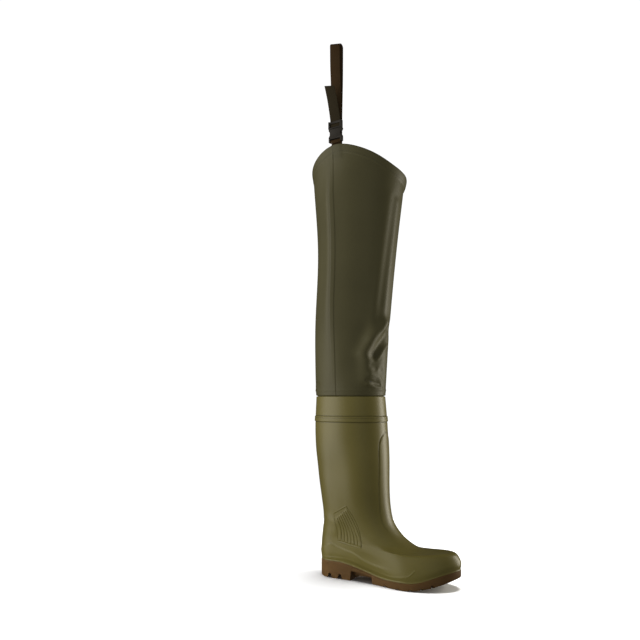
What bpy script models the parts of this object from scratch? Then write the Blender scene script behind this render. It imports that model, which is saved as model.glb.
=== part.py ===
"""Thigh wader boot, right foot: a moulded safety boot with a coated cloth leg and a belt strap.

Sizes are in millimetres while the shapes are worked out, and every mesh is written in metres.
The toe points to +X, the outer side of the foot to -Y and the leg rises along +Z.
"""
import math
from collections import namedtuple

import bmesh
import bpy
from mathutils import Matrix, Vector

MM = 0.001

# Walls and gaps
BOOT_WALL = 3.2
LEG_WALL = 1.0
INSOLE_THICK = 4.0
WEBBING_WIDTH = 25.0
WEBBING_THICK = 1.5
GAP = 0.3

# Raised steps of the boot and of the leg
RAND_LIFT = 1.0
BAND_LIFT = 1.5
BAND_LOW_Z = 324.0
BAND_HIGH_Z = 335.0
RIB_COUNT = 7
RIB_WIDTH = 3.4
RIB_LIFT = 1.2
RIB_ROOT = 1.2
SEAM_ANGLE = 100.0
SEAM_HALF_ANGLE = 2.9
SEAM_LIFT = 0.7
HEM_DEPTH = 18.0
HEM_LIFT = 0.7
RIM_FLARE = 2.0
RIM_FLARE_DEPTH = 22.0

# Outsole
SOLE_OUTSET = 0.9
SOLE_CHAMFER = 1.4
HEEL_BREAST_X = 13.0
FOREPART_X = 65.0
STEP_SLOPE = 2.5
WAIST_HEEL_Z = 19.0
WAIST_FORE_Z = 13.0
SPRING_START_X = 136.0
SPRING_HEIGHT = 26.0
SPRING_END_X = 236.0
FORE_GROOVE_DEPTH = 5.5
HEEL_GROOVE_DEPTH = 8.0
GROOVE_OPEN = 6.0
FORE_GROOVE_WIDTH = 6.0
FORE_GROOVE_TILT = 38.0
FORE_GROOVE_FIRST_X = 62.0
FORE_GROOVE_PITCH = 25.5
FORE_GROOVE_COUNT = 5
FORE_GROOVE_PAST_CENTRE = 15.0
HEEL_GROOVE_WIDTH = 7.0
HEEL_GROOVE_SWEEP = 12.0
HEEL_GROOVE_APEX_X = (-20.0, -44.0)
HEEL_SLOT_Y = 10.0
HEEL_SLOT_WIDTH = 6.0
HEEL_SLOT_DEPTH = 5.0
PLATE_HALF_WIDTH = 20.0
PLATE_BOTTOM = 8.0
PLATE_ROOT = 2.0

# Mesh steps
BOOT_COLUMNS = 40
LEG_COLUMNS = 36
SOLE_COLUMNS = BOOT_COLUMNS // 2

# The boot is a stack of closed rings. Each ring runs from a point on the front line to a point on
# the back line. ball, waist and heel are half widths, out is the outer side of the foot, cap is the
# share of the ring taken by its rounded end, and tip moves the toe towards the other foot.
BootRow = namedtuple(
    "BootRow",
    "name front_x front_z back_x back_z droop ball_out ball_in waist_out waist_in heel"
    " cap_front cap_back tip",
)
BOOT_ROWS = (
    BootRow("feather", 233.0, 39.0, -69.0, 34.0, 22.5, 53.0, 52.0, 35.0, 32.0, 36.0, 0.34, 0.125, 9.0),
    BootRow("rand", 235.0, 52.0, -71.0, 50.0, 21.5, 53.5, 52.0, 38.0, 34.0, 37.5, 0.34, 0.130, 9.0),
    BootRow("toe_low", 228.5, 62.0, -70.0, 68.0, 14.5, 51.0, 49.0, 40.0, 36.0, 38.0, 0.34, 0.140, 9.0),
    BootRow("toe_top", 216.0, 69.7, -68.5, 85.0, 9.5, 47.0, 45.0, 42.0, 38.0, 39.0, 0.37, 0.160, 8.0),
    BootRow("toe_back", 187.0, 66.5, -66.5, 99.0, 7.0, 43.5, 42.0, 43.0, 40.0, 41.0, 0.41, 0.190, 6.0),
    BootRow("vamp", 155.0, 69.2, -64.3, 113.0, 5.0, 42.0, 41.0, 44.0, 42.0, 43.0, 0.45, 0.230, 4.0),
    BootRow("instep", 129.0, 81.5, -64.5, 127.0, 4.0, 42.0, 41.0, 46.0, 44.0, 45.0, 0.48, 0.280, 2.0),
    BootRow("throat", 108.8, 97.8, -66.8, 143.0, 2.0, 44.0, 43.0, 48.0, 46.0, 46.0, 0.49, 0.360, 1.0),
    BootRow("ankle", 92.3, 120.0, -70.3, 166.0, 1.0, 48.0, 47.0, 50.0, 49.0, 49.0, 0.50, 0.430, 0.0),
    BootRow("shin", 85.2, 151.0, -75.0, 198.0, 0.0, 52.0, 52.0, 53.0, 53.0, 53.0, 0.50, 0.480, 0.0),
    BootRow("calf", 83.0, 190.0, -79.3, 235.0, 0.0, 56.0, 56.0, 56.0, 56.0, 56.0, 0.50, 0.500, 0.0),
    BootRow("shaft", 83.0, 250.0, -83.0, 272.0, 0.0, 60.0, 60.0, 60.0, 60.0, 60.0, 0.50, 0.500, 0.0),
    BootRow("cuff_foot", 80.0, 318.0, -84.0, 318.0, 0.0, 61.5, 61.5, 61.5, 61.5, 61.5, 0.50, 0.500, 0.0),
    BootRow("collar", 75.5, 377.0, -81.5, 377.0, 0.0, 60.0, 60.0, 60.0, 60.0, 60.0, 0.50, 0.500, 0.0),
)
DROOP_FRONT = (-0.03, 0.28)
DROOP_BACK = (0.43, 0.85)
COLLAR = len(BOOT_ROWS) - 1
CUFF_FOOT = COLLAR - 1
COLLAR_Z = BOOT_ROWS[COLLAR].front_z
CUFF_FOOT_Z = BOOT_ROWS[CUFF_FOOT].front_z

# Level sections of the cloth leg
LegRow = namedtuple("LegRow", "name z half_depth half_width centre_x")
LEG_ROWS = (
    LegRow("bead", 379.2, 79.4, 60.9, -3.0),
    LegRow("shin", 400.0, 80.2, 61.5, -3.0),
    LegRow("knee", 521.0, 85.5, 64.0, 1.2),
    LegRow("thigh", 695.0, 90.5, 72.0, 14.8),
    LegRow("hip", 865.0, 106.5, 86.0, 21.0),
    LegRow("top", 930.0, 110.5, 90.5, 22.3),
)
LEG_TUCK = 40.0
RIM_MEAN_Z = 858.7
RIM_FRONT_FALL = 4.8
RIM_OUTER_RISE = 49.0
RIM_INNER_FALL = 12.0
RIM_POWER = 1.65
RIM_PEAK = 4.0
RIM_PEAK_ANGLE = 92.0
RIM_PEAK_SPREAD = 20.0

# Rings of the leg's two faces: share of the height from the bead to the rim, distance below, lift
LegRing = namedtuple("LegRing", "share below lift")
LEG_OUTER_RINGS = tuple(LegRing(k / 12.0, 0.0, 0.0) for k in range(12)) + (
    LegRing(1.0, RIM_FLARE_DEPTH, 0.0),
    LegRing(1.0, HEM_DEPTH + 0.8, 0.0),
    LegRing(1.0, HEM_DEPTH, HEM_LIFT),
    LegRing(1.0, HEM_DEPTH / 2.0, HEM_LIFT),
    LegRing(1.0, 0.0, HEM_LIFT),
)
LEG_INNER_RINGS = tuple(LegRing(k / 7.0, 0.0, 0.0) for k in range(7)) + (
    LegRing(1.0, RIM_FLARE_DEPTH, 0.0),
    LegRing(1.0, HEM_DEPTH / 2.0, 0.0),
    LegRing(1.0, 0.0, 0.0),
)

# Ankle ribs on the side of the boot: ends of the first and the last rib
RibEnd = namedtuple("RibEnd", "name x z")
RIB_ENDS = (
    RibEnd("first_top", -14.0, 126.0),
    RibEnd("last_top", 13.0, 146.0),
    RibEnd("first_foot", -8.0, 79.0),
    RibEnd("last_foot", 40.5, 72.0),
)
RIB_BOW = 3.0

# Strap frame on the outer side of the rim
STRAP_X = 12.5
STRAP_Z = 905.0
STRAP_TURN = 4.0
STRAP_SKEW = 0.22
STRAP_SKEW_LOW_Z = 968.0
STRAP_SKEW_HIGH_Z = 1010.0
PathPoint = namedtuple("PathPoint", "out z")
TAB_PATH = (
    PathPoint(-5.7, 868.0),
    PathPoint(-4.3, 886.0),
    PathPoint(-1.9, 904.0),
    PathPoint(-1.5, 913.0),
)
STRAP_RISE_PATH = (
    PathPoint(-8.2, 862.0),
    PathPoint(-6.4, 884.0),
    PathPoint(-4.7, 905.0),
    PathPoint(-4.7, 930.0),
    PathPoint(-4.9, 962.0),
    PathPoint(-6.0, 1000.0),
    PathPoint(-8.3, 1060.0),
    PathPoint(-9.4, 1132.0),
)
STRAP_FALL_PATH = (
    PathPoint(4.4, 1132.0),
    PathPoint(3.4, 1085.0),
    PathPoint(0.8, 1040.0),
    PathPoint(-0.8, 1000.0),
    PathPoint(-1.05, 966.0),
)
TAIL_PATH = (
    PathPoint(3.05, 962.5),
    PathPoint(4.2, 970.0),
    PathPoint(9.0, 988.0),
    PathPoint(17.0, 1012.0),
    PathPoint(26.0, 1034.0),
)

# Buckle, in the strap frame
BUCKLE_HALF_WIDTH = 16.0
BUCKLE_BACK = -3.0
BUCKLE_FRONT = 5.0
SLOT_HALF_WIDTH = 13.1
SOCKET_FOOT_Z = 918.0
SOCKET_BODY_Z = 925.0
SOCKET_TOP_Z = 947.0
SOCKET_BAR_Z = 920.5
SOCKET_BAR_RADIUS = 1.2
MOUTH_HALF_WIDTH = 12.0
MOUTH_FOOT_Z = 928.0
WINDOW_LOW_Z = 931.0
WINDOW_HIGH_Z = 942.0
WINDOW_GAP = 0.4
TONGUE_HALF_WIDTH = 4.5
TONGUE_BACK = -0.5
TONGUE_FRONT = 2.5
TONGUE_FOOT_Z = 929.0
PRONG_INNER = 7.0
PRONG_SHOULDER = 15.1
PLUG_FOOT_Z = SOCKET_TOP_Z + GAP
PLUG_TOP_Z = 963.0
PLUG_BACK = -1.5
PLUG_FRONT = 6.6
PLUG_BASE_Z = 949.6
PLUG_BAR_Z = 953.0
PLUG_BAR_RADIUS = 1.0
PLUG_LIP_BACK = 4.1
PLUG_LIP_Z = 958.0
BAR_OUT = 1.0


def smooth(low, high, value):
    """Soft step from 0 to 1 between low and high."""
    share = min(max((value - low) / (high - low), 0.0), 1.0)
    return share * share * (3.0 - 2.0 * share)


def round_end(share):
    """Height of a quarter circle over its base."""
    share = min(max(share, 0.0), 1.0)
    return math.sqrt(max(0.0, 1.0 - (1.0 - share) ** 2))


def boot_row(level):
    """Smooth values between the rows of the boot table."""
    level = min(max(level, 0.0), COLLAR - 1e-9)
    low = int(level)
    share = level - low
    p1 = BOOT_ROWS[low][1:]
    p2 = BOOT_ROWS[low + 1][1:]
    p0 = BOOT_ROWS[low - 1][1:] if low > 0 else [2 * a - b for a, b in zip(p1, p2)]
    p3 = BOOT_ROWS[low + 2][1:] if low + 2 <= COLLAR else [2 * b - a for a, b in zip(p1, p2)]
    values = []
    for a, b, c, d in zip(p0, p1, p2, p3):
        slope = (c - a) * share
        bend = (2 * a - 5 * b + 4 * c - d) * share ** 2
        twist = (3 * b - a - 3 * c + d) * share ** 3
        values.append(b + 0.5 * (slope + bend + twist))
    return BootRow("between", *values)


def ring_height(row, share):
    """Height of a ring at a share of the way from its front to its back."""
    dip = smooth(*DROOP_FRONT, share) * (1.0 - smooth(*DROOP_BACK, share))
    return row.front_z + (row.back_z - row.front_z) * share - row.droop * dip


def boot_point(level, angle):
    """Point of the plain boot: angle 0 is the front and a quarter turn is the outer side."""
    row = boot_row(level)
    share = (1.0 - math.cos(angle)) / 2.0
    outer = math.sin(angle) > 0.0
    ball = row.ball_out if outer else row.ball_in
    waist = row.waist_out if outer else row.waist_in
    width = ball + (waist - ball) * smooth(0.28, 0.58, share)
    width += (row.heel - waist) * smooth(0.58, 0.86, share)
    width *= round_end(share / row.cap_front) * round_end((1.0 - share) / row.cap_back)
    tip = row.tip * max(0.0, 1.0 - share / 0.4) ** 2
    x = row.front_x + (row.back_x - row.front_x) * share
    y = tip - width if outer else tip + width
    return Vector((x, y, ring_height(row, share)))


def boot_normal(level, angle):
    """Outward direction of the boot's wall."""
    up = boot_point(level + 0.05, angle) - boot_point(level - 0.05, angle)
    round_it = boot_point(level, angle + 0.02) - boot_point(level, angle - 0.02)
    return up.cross(round_it).normalized()


def boot_wall_point(level, angle, lift):
    """Point moved out from the plain boot; the lower and upper edges move level."""
    direction = boot_normal(level, angle)
    if level <= 0.0 or level >= COLLAR:
        direction = Vector((direction.x, direction.y, 0.0)).normalized()
    return boot_point(level, angle) + direction * lift


def boot_side_point(x, z, side, lift):
    """Point of the boot's side wall at a given place along the foot and height."""
    low = 0.0
    high = float(COLLAR)
    for _ in range(40):
        middle = (low + high) / 2.0
        row = boot_row(middle)
        share = (row.front_x - x) / (row.front_x - row.back_x)
        if ring_height(row, share) < z:
            low = middle
        else:
            high = middle
    row = boot_row(low)
    share = (row.front_x - x) / (row.front_x - row.back_x)
    angle = side * math.acos(1.0 - 2.0 * share)
    return boot_wall_point(low, angle, lift)


def cuff_level(z):
    """Level of the boot table for a height in the upright cuff."""
    return CUFF_FOOT + (z - CUFF_FOOT_Z) / (COLLAR_Z - CUFF_FOOT_Z)


def leg_section(z):
    """Half depth, half width and centre of the leg at a height."""
    last = len(LEG_ROWS) - 1
    low = 0
    while low < last - 1 and z > LEG_ROWS[low + 1].z:
        low += 1
    near = LEG_ROWS[low]
    far = LEG_ROWS[low + 1]
    before = LEG_ROWS[max(low - 1, 0)]
    after = LEG_ROWS[min(low + 2, last)]
    span = far.z - near.z
    share = (z - near.z) / span
    values = []
    for column in (2, 3, 4):
        slope_near = (far[column] - before[column]) / (far.z - before.z) * span
        slope_far = (after[column] - near[column]) / (after.z - near.z) * span
        a = near[column]
        b = far[column]
        cubic = 2 * a - 2 * b + slope_near + slope_far
        square = 3 * b - 3 * a - 2 * slope_near - slope_far
        values.append(a + slope_near * share + square * share ** 2 + cubic * share ** 3)
    return values


def rim_height(angle):
    """Height of the leg's top edge: high on the outer side, low at the front and inner side."""
    side = math.sin(angle)
    height = RIM_MEAN_Z - RIM_FRONT_FALL * math.cos(angle)
    if side > 0.0:
        from_peak = (math.degrees(angle) - RIM_PEAK_ANGLE) / RIM_PEAK_SPREAD
        return height + RIM_OUTER_RISE * side ** RIM_POWER + RIM_PEAK * math.exp(-from_peak ** 2)
    return height - RIM_INNER_FALL * abs(side) ** RIM_POWER


def leg_ring_lift(ring):
    """Distance of a ring from the plain leg: its own step and the flare of the rim."""
    if ring.share < 1.0:
        return ring.lift
    return ring.lift + RIM_FLARE * (1.0 - smooth(0.0, RIM_FLARE_DEPTH, ring.below))


def leg_point(z, angle):
    """Point of the plain cloth leg."""
    half_depth, half_width, centre_x = leg_section(z)
    return Vector((centre_x + half_depth * math.cos(angle), -half_width * math.sin(angle), z))


def leg_wall_point(z, angle, lift):
    """Point moved out from the plain leg."""
    up = leg_point(z + 2.0, angle) - leg_point(z - 2.0, angle)
    round_it = leg_point(z, angle + 0.02) - leg_point(z, angle - 0.02)
    direction = up.cross(round_it)
    direction.z = 0.0
    return leg_point(z, angle) + direction.normalized() * lift


def leg_ring_z(ring, angle):
    """Height of a ring of the leg."""
    foot = LEG_ROWS[0].z
    return foot + ring.share * (rim_height(angle) - foot) - ring.below


def strap_point(along, out, z):
    """Point in the strap frame: along the rim to the front, out from the leg, and up."""
    turn = math.radians(STRAP_TURN)
    half_depth, _, centre_x = leg_section(STRAP_Z)
    centre = leg_point(STRAP_Z, math.acos((STRAP_X - centre_x) / half_depth))
    forward = Vector((math.cos(turn), -math.sin(turn), 0.0))
    outward = Vector((-math.sin(turn), -math.cos(turn), 0.0))
    place = centre + forward * along + outward * out
    return Vector((place.x, place.y, z))


def sole_top(x):
    """Height of the feather line, where boot and outsole meet."""
    row = BOOT_ROWS[0]
    share = (row.front_x - x) / (row.front_x - row.back_x)
    return ring_height(row, min(max(share, 0.0), 1.0))


def spring_height(x):
    """Height of the tread over the floor along the toe spring."""
    share = max(0.0, x - SPRING_START_X) / (SPRING_END_X - SPRING_START_X)
    return SPRING_HEIGHT * share ** 1.8


def waist_height(x):
    """Height of the underside between heel and forepart; it falls to the front."""
    share = (x - HEEL_BREAST_X) / (FOREPART_X - HEEL_BREAST_X)
    return WAIST_HEEL_Z + (WAIST_FORE_Z - WAIST_HEEL_Z) * share


def sole_bottom(x):
    """Height of the underside with the heel, the raised waist and the toe spring."""
    enter = min(max((x - HEEL_BREAST_X) / STEP_SLOPE, 0.0), 1.0)
    leave = min(max((x - FOREPART_X + STEP_SLOPE) / STEP_SLOPE, 0.0), 1.0)
    return waist_height(x) * (enter - leave) + spring_height(x)


for old in list(bpy.data.objects):
    bpy.data.objects.remove(old, do_unlink=True)

parts = bpy.data.collections.new("thigh_wader_boot")
bpy.context.scene.collection.children.link(parts)
cutters = bpy.data.collections.new("cutters")
bpy.context.scene.collection.children.link(cutters)


def new_material(name, colour, roughness):
    """Plain Principled material."""
    material = bpy.data.materials.new(name)
    material.use_nodes = True
    shader = material.node_tree.nodes["Principled BSDF"]
    shader.inputs["Base Color"].default_value = (*colour, 1.0)
    shader.inputs["Roughness"].default_value = roughness
    shader.inputs["Metallic"].default_value = 0.0
    return material


OLIVE = new_material("olive_polyurethane", (0.105, 0.092, 0.030), 0.42)
BROWN = new_material("brown_outsole", (0.130, 0.068, 0.030), 0.60)
CLOTH = new_material("coated_cloth", (0.046, 0.040, 0.022), 0.48)
WEBBING = new_material("webbing", (0.036, 0.024, 0.013), 0.85)
PLASTIC = new_material("black_plastic", (0.030, 0.028, 0.027), 0.40)
FOAM = new_material("insole_foam", (0.080, 0.080, 0.080), 0.90)


def finish(name, shape, material, collection):
    """Close a shape, turn its faces out and place it as a named object in metres."""
    bmesh.ops.remove_doubles(shape, verts=shape.verts, dist=0.02)
    bmesh.ops.recalc_face_normals(shape, faces=shape.faces)
    bmesh.ops.scale(shape, vec=(MM, MM, MM), verts=shape.verts)
    mesh = bpy.data.meshes.new(name)
    shape.to_mesh(mesh)
    shape.free()
    piece = bpy.data.objects.new(name, mesh)
    collection.objects.link(piece)
    if material is not None:
        mesh.materials.append(material)
    if collection is cutters:
        piece.hide_render = True
        piece.display_type = "WIRE"
    return piece


def skin(shape, rings, closed):
    """Faces between neighbouring rings; closed joins the last ring to the first."""
    rows = [[shape.verts.new(point) for point in ring] for ring in rings]
    pairs = list(zip(rows, rows[1:]))
    if closed:
        pairs.append((rows[-1], rows[0]))
    for low, high in pairs:
        count = len(low)
        for k in range(count):
            after = (k + 1) % count
            shape.faces.new((low[k], low[after], high[after], high[k]))
    return rows


def add_bar(shape, stations):
    """Closed bar through four-cornered stations."""
    rows = skin(shape, stations, False)
    shape.faces.new(rows[0])
    shape.faces.new(list(reversed(rows[-1])))


def add_box(shape, along, out, z):
    """Upright block in the strap frame from pairs of limits."""
    size = Vector((along[1] - along[0], out[1] - out[0], z[1] - z[0]))
    centre = strap_point(sum(along) / 2.0, sum(out) / 2.0, sum(z) / 2.0)
    turn = Matrix.Rotation(-math.radians(STRAP_TURN), 4, "Z")
    scale = Matrix.Diagonal((size.x, size.y, size.z, 1.0))
    bmesh.ops.create_cube(shape, size=1.0, matrix=Matrix.Translation(centre) @ turn @ scale)


def box_object(name, along, out, z, material, collection):
    """One block in the strap frame as an object."""
    shape = bmesh.new()
    add_box(shape, along, out, z)
    return finish(name, shape, material, collection)


def rod_object(name, half_length, radius, out, z):
    """Round bar across the strap frame, used to join the cheeks of a buckle half."""
    shape = bmesh.new()
    place = Matrix.Translation(strap_point(0.0, out, z))
    turn = Matrix.Rotation(-math.radians(STRAP_TURN), 4, "Z") @ Matrix.Rotation(math.pi / 2.0, 4, "Y")
    bmesh.ops.create_cone(shape, cap_ends=True, segments=12, radius1=radius, radius2=radius,
                          depth=2.0 * half_length, matrix=place @ turn)
    return finish(name, shape, None, cutters)


def combine(piece, tool, operation):
    """Cut a tool from a piece, or join it on."""
    step = piece.modifiers.new(tool.name, "BOOLEAN")
    step.operation = operation
    step.object = tool
    step.solver = "EXACT"


def tube(name, outer, inner, material):
    """Hollow wall from the rings of its outer and inner faces."""
    shape = bmesh.new()
    skin(shape, list(outer) + list(reversed(inner)), True)
    return finish(name, shape, material, parts)


# Boot upper: outer face with the rand and the cuff band as steps, inner face plain
BootRing = namedtuple("BootRing", "level lift")
rand_rings = [BootRing(0.0, RAND_LIFT), BootRing(0.45, RAND_LIFT), BootRing(0.95, RAND_LIFT)]
body_rings = [BootRing(1.08 + 0.61 * k, 0.0) for k in range(18)]
band_rings = [
    BootRing(cuff_level(BAND_LOW_Z - 1.0), 0.0),
    BootRing(cuff_level(BAND_LOW_Z), BAND_LIFT),
    BootRing(cuff_level(BAND_HIGH_Z), BAND_LIFT),
    BootRing(cuff_level(BAND_HIGH_Z + 1.0), 0.0),
    BootRing(float(COLLAR), 0.0),
]
boot_angles = [2.0 * math.pi * k / BOOT_COLUMNS for k in range(BOOT_COLUMNS)]
boot_outer = [
    [boot_wall_point(ring.level, angle, ring.lift) for angle in boot_angles]
    for ring in rand_rings + body_rings + band_rings
]
inner_levels = [COLLAR * k / 17.0 for k in range(18)]
boot_inner = [
    [boot_wall_point(level, angle, -BOOT_WALL) for angle in boot_angles] for level in inner_levels
]
boot_upper = tube("boot_upper", boot_outer, boot_inner, OLIVE)

# Ankle ribs: slanted bars that follow the wall on both sides
ribs = bmesh.new()
first_top, last_top, first_foot, last_foot = RIB_ENDS
for side in (1.0, -1.0):
    for k in range(RIB_COUNT):
        share = k / (RIB_COUNT - 1.0)
        top_x = first_top.x + (last_top.x - first_top.x) * share
        top_z = first_top.z + (last_top.z - first_top.z) * share
        foot_x = first_foot.x + (last_foot.x - first_foot.x) * share
        foot_z = first_foot.z + (last_foot.z - first_foot.z) * share
        stations = []
        for step in range(6):
            down = step / 5.0
            x = top_x + (foot_x - top_x) * down + RIB_BOW * 4.0 * down * (1.0 - down)
            z = top_z + (foot_z - top_z) * down
            half = RIB_WIDTH / 2.0
            stations.append((
                boot_side_point(x - half, z, side, -RIB_ROOT),
                boot_side_point(x + half, z, side, -RIB_ROOT),
                boot_side_point(x + half * 0.6, z, side, RIB_LIFT),
                boot_side_point(x - half * 0.6, z, side, RIB_LIFT),
            ))
        add_bar(ribs, stations)
combine(boot_upper, finish("ankle_ribs", ribs, None, cutters), "UNION")

# Cloth leg: its foot is tucked into the cuff and follows the cuff's inner face
seam_edges = [SEAM_ANGLE - SEAM_HALF_ANGLE, SEAM_ANGLE + SEAM_HALF_ANGLE]
leg_turns = [360.0 * k / LEG_COLUMNS for k in range(LEG_COLUMNS)]
leg_turns = [turn for turn in leg_turns if not seam_edges[0] - 2.0 < turn < seam_edges[1] + 2.0]
leg_turns += [seam_edges[0] - 0.4, seam_edges[0], SEAM_ANGLE, seam_edges[1], seam_edges[1] + 0.4]
leg_turns.sort()
leg_angles = [math.radians(turn) for turn in leg_turns]


def seam_lift(turn):
    """The two edges of the cloth overlap in one welded strip."""
    return SEAM_LIFT if abs(turn - SEAM_ANGLE) <= SEAM_HALF_ANGLE + 0.01 else 0.0


def tuck_ring(z, rise, inset):
    """Ring inside the cuff."""
    points = [boot_wall_point(cuff_level(z), angle, -BOOT_WALL - GAP - inset) for angle in leg_angles]
    return [Vector((point.x, point.y, point.z + rise)) for point in points]


leg_outer = [tuck_ring(COLLAR_Z - LEG_TUCK, 0.0, 0.0), tuck_ring(COLLAR_Z, 0.5, 0.0)]
for ring in LEG_OUTER_RINGS:
    leg_outer.append([
        leg_wall_point(leg_ring_z(ring, angle), angle, max(leg_ring_lift(ring), seam_lift(turn)))
        for turn, angle in zip(leg_turns, leg_angles)
    ])
leg_inner = [tuck_ring(COLLAR_Z - LEG_TUCK, 0.0, LEG_WALL), tuck_ring(COLLAR_Z, 1.4, LEG_WALL)]
for ring in LEG_INNER_RINGS:
    bead_rise = 1.4 if ring.share == 0.0 else 0.0
    leg_inner.append([
        leg_wall_point(leg_ring_z(ring, angle) + bead_rise, angle, leg_ring_lift(ring) - LEG_WALL)
        for angle in leg_angles
    ])
wader_leg = tube("wader_leg", leg_outer, leg_inner, CLOTH)


# Outsole: side wall, flat top and an underside with heel, waist and toe spring
def turn_at(x):
    """Angle of the feather ring at a place along the foot."""
    row = BOOT_ROWS[0]
    return math.acos(1.0 - 2.0 * (row.front_x - x) / (row.front_x - row.back_x))


sole_turns = [math.pi * k / SOLE_COLUMNS for k in range(SOLE_COLUMNS + 1)]
step_turns = [
    turn_at(HEEL_BREAST_X),
    turn_at(HEEL_BREAST_X + STEP_SLOPE),
    turn_at(FOREPART_X - STEP_SLOPE),
    turn_at(FOREPART_X),
]
sole_turns = [turn for turn in sole_turns if min(abs(turn - step) for step in step_turns) > 0.012]
sole_turns = sorted(sole_turns + step_turns)

SoleRing = namedtuple("SoleRing", "name outset share rise")
SOLE_RINGS = (
    SoleRing("top", SOLE_OUTSET, 0.0, -GAP),
    SoleRing("lip", SOLE_OUTSET + 0.4, 0.14, 0.0),
    SoleRing("foot", SOLE_OUTSET, 1.0, SOLE_CHAMFER),
    SoleRing("tread", SOLE_OUTSET - SOLE_CHAMFER, 1.0, 0.0),
)
sole = bmesh.new()
halves = []
for side in (1.0, -1.0):
    rings = []
    for ring in SOLE_RINGS:
        points = []
        for turn in sole_turns:
            point = boot_wall_point(0.0, side * turn, ring.outset)
            if turn in (sole_turns[0], sole_turns[-1]):
                point.y = boot_point(0.0, turn).y
            top = sole_top(point.x)
            level = top + (sole_bottom(point.x) - top) * ring.share + ring.rise
            points.append(sole.verts.new((point.x, point.y, level)))
        rings.append(points)
    halves.append(rings)
    for low, high in zip(rings, rings[1:]):
        for k in range(len(low) - 1):
            sole.faces.new((low[k], low[k + 1], high[k + 1], high[k]))
for edge in (0, -1):
    outer_side = halves[0][edge]
    inner_side = halves[1][edge]
    for k in range(len(outer_side) - 1):
        sole.faces.new((outer_side[k], outer_side[k + 1], inner_side[k + 1], inner_side[k]))
bmesh.ops.remove_doubles(sole, verts=sole.verts, dist=0.02)
bmesh.ops.dissolve_degenerate(sole, dist=0.01, edges=sole.edges)
bmesh.ops.triangulate(sole, faces=sole.faces)
outsole = finish("outsole", sole, BROWN, parts)

# Raised plate under the waist
plate = bmesh.new()
plate_stations = []
for x in (HEEL_BREAST_X - PLATE_ROOT, FOREPART_X + PLATE_ROOT):
    plate_top = waist_height(x) + PLATE_ROOT
    plate_stations.append((
        Vector((x, -PLATE_HALF_WIDTH, PLATE_BOTTOM)),
        Vector((x, PLATE_HALF_WIDTH, PLATE_BOTTOM)),
        Vector((x, PLATE_HALF_WIDTH, plate_top)),
        Vector((x, -PLATE_HALF_WIDTH, plate_top)),
    ))
add_bar(plate, plate_stations)
combine(outsole, finish("waist_plate", plate, None, cutters), "UNION")


def add_groove(shape, course, width, depth):
    """Groove tool along a course of places, measured across the foot's length."""
    stations = []
    for x, y in course:
        left = x - width / 2.0
        right = x + width / 2.0
        stations.append((
            Vector((left, y, spring_height(left) - GROOVE_OPEN)),
            Vector((right, y, spring_height(right) - GROOVE_OPEN)),
            Vector((right, y, spring_height(right) + depth)),
            Vector((left, y, spring_height(left) + depth)),
        ))
    add_bar(shape, stations)


# Herringbone grooves of the forepart, one family from each side
for side, label in ((-1.0, "outer"), (1.0, "inner")):
    family = bmesh.new()
    shift = 0.0 if side < 0.0 else FORE_GROOVE_PITCH / 2.0
    for k in range(FORE_GROOVE_COUNT):
        start_x = FORE_GROOVE_FIRST_X + shift + FORE_GROOVE_PITCH * k
        course = []
        for step in range(6):
            across = -FORE_GROOVE_PAST_CENTRE + (66.0 + FORE_GROOVE_PAST_CENTRE) * step / 5.0
            course.append((start_x + across * math.tan(math.radians(FORE_GROOVE_TILT)), side * across))
        add_groove(family, course, FORE_GROOVE_WIDTH, FORE_GROOVE_DEPTH)
    combine(outsole, finish("forepart_grooves_" + label, family, None, cutters), "DIFFERENCE")

# Chevron grooves and two straight slots of the heel
chevrons = bmesh.new()
for apex_x in HEEL_GROOVE_APEX_X:
    course = [(apex_x + HEEL_GROOVE_SWEEP * abs(step) / 4.0, 12.0 * step) for step in range(-4, 5)]
    add_groove(chevrons, course, HEEL_GROOVE_WIDTH, HEEL_GROOVE_DEPTH)
combine(outsole, finish("heel_chevrons", chevrons, None, cutters), "DIFFERENCE")
slots = bmesh.new()
for side in (-1.0, 1.0):
    slot_length = HEEL_BREAST_X + STEP_SLOPE - HEEL_GROOVE_APEX_X[1]
    slot_x = HEEL_GROOVE_APEX_X[1] + slot_length / 2.0
    slot_height = HEEL_SLOT_DEPTH + GROOVE_OPEN
    slot_centre = Vector((slot_x, side * HEEL_SLOT_Y, HEEL_SLOT_DEPTH - slot_height / 2.0))
    slot_scale = Matrix.Diagonal((slot_length, HEEL_SLOT_WIDTH, slot_height, 1.0))
    bmesh.ops.create_cube(slots, size=1.0, matrix=Matrix.Translation(slot_centre) @ slot_scale)
combine(outsole, finish("heel_slots", slots, None, cutters), "DIFFERENCE")

# Insole: a sheet on the outsole inside the wall
insole_shape = bmesh.new()
insole_rings = []
for rise in (0.0, INSOLE_THICK):
    ring = []
    for angle in boot_angles:
        point = boot_wall_point(0.0, angle, -BOOT_WALL - 0.5)
        ring.append(Vector((point.x, point.y, sole_top(point.x) + rise)))
    insole_rings.append(ring)
low, high = skin(insole_shape, insole_rings, False)
for ring in (low, high):
    for k in range(BOOT_COLUMNS // 2):
        corners = [ring[k], ring[k + 1], ring[-k - 1], ring[-k]]
        insole_shape.faces.new(list(dict.fromkeys(corners)))
insole = finish("insole", insole_shape, FOAM, parts)


def arc(out, z, radius, start, stop, steps):
    """Points of an arc in the strap's side view; angles in degrees from straight out."""
    points = []
    for k in range(steps + 1):
        angle = math.radians(start + (stop - start) * k / steps)
        points.append(PathPoint(out + radius * math.cos(angle), z + radius * math.sin(angle)))
    return points


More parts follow.
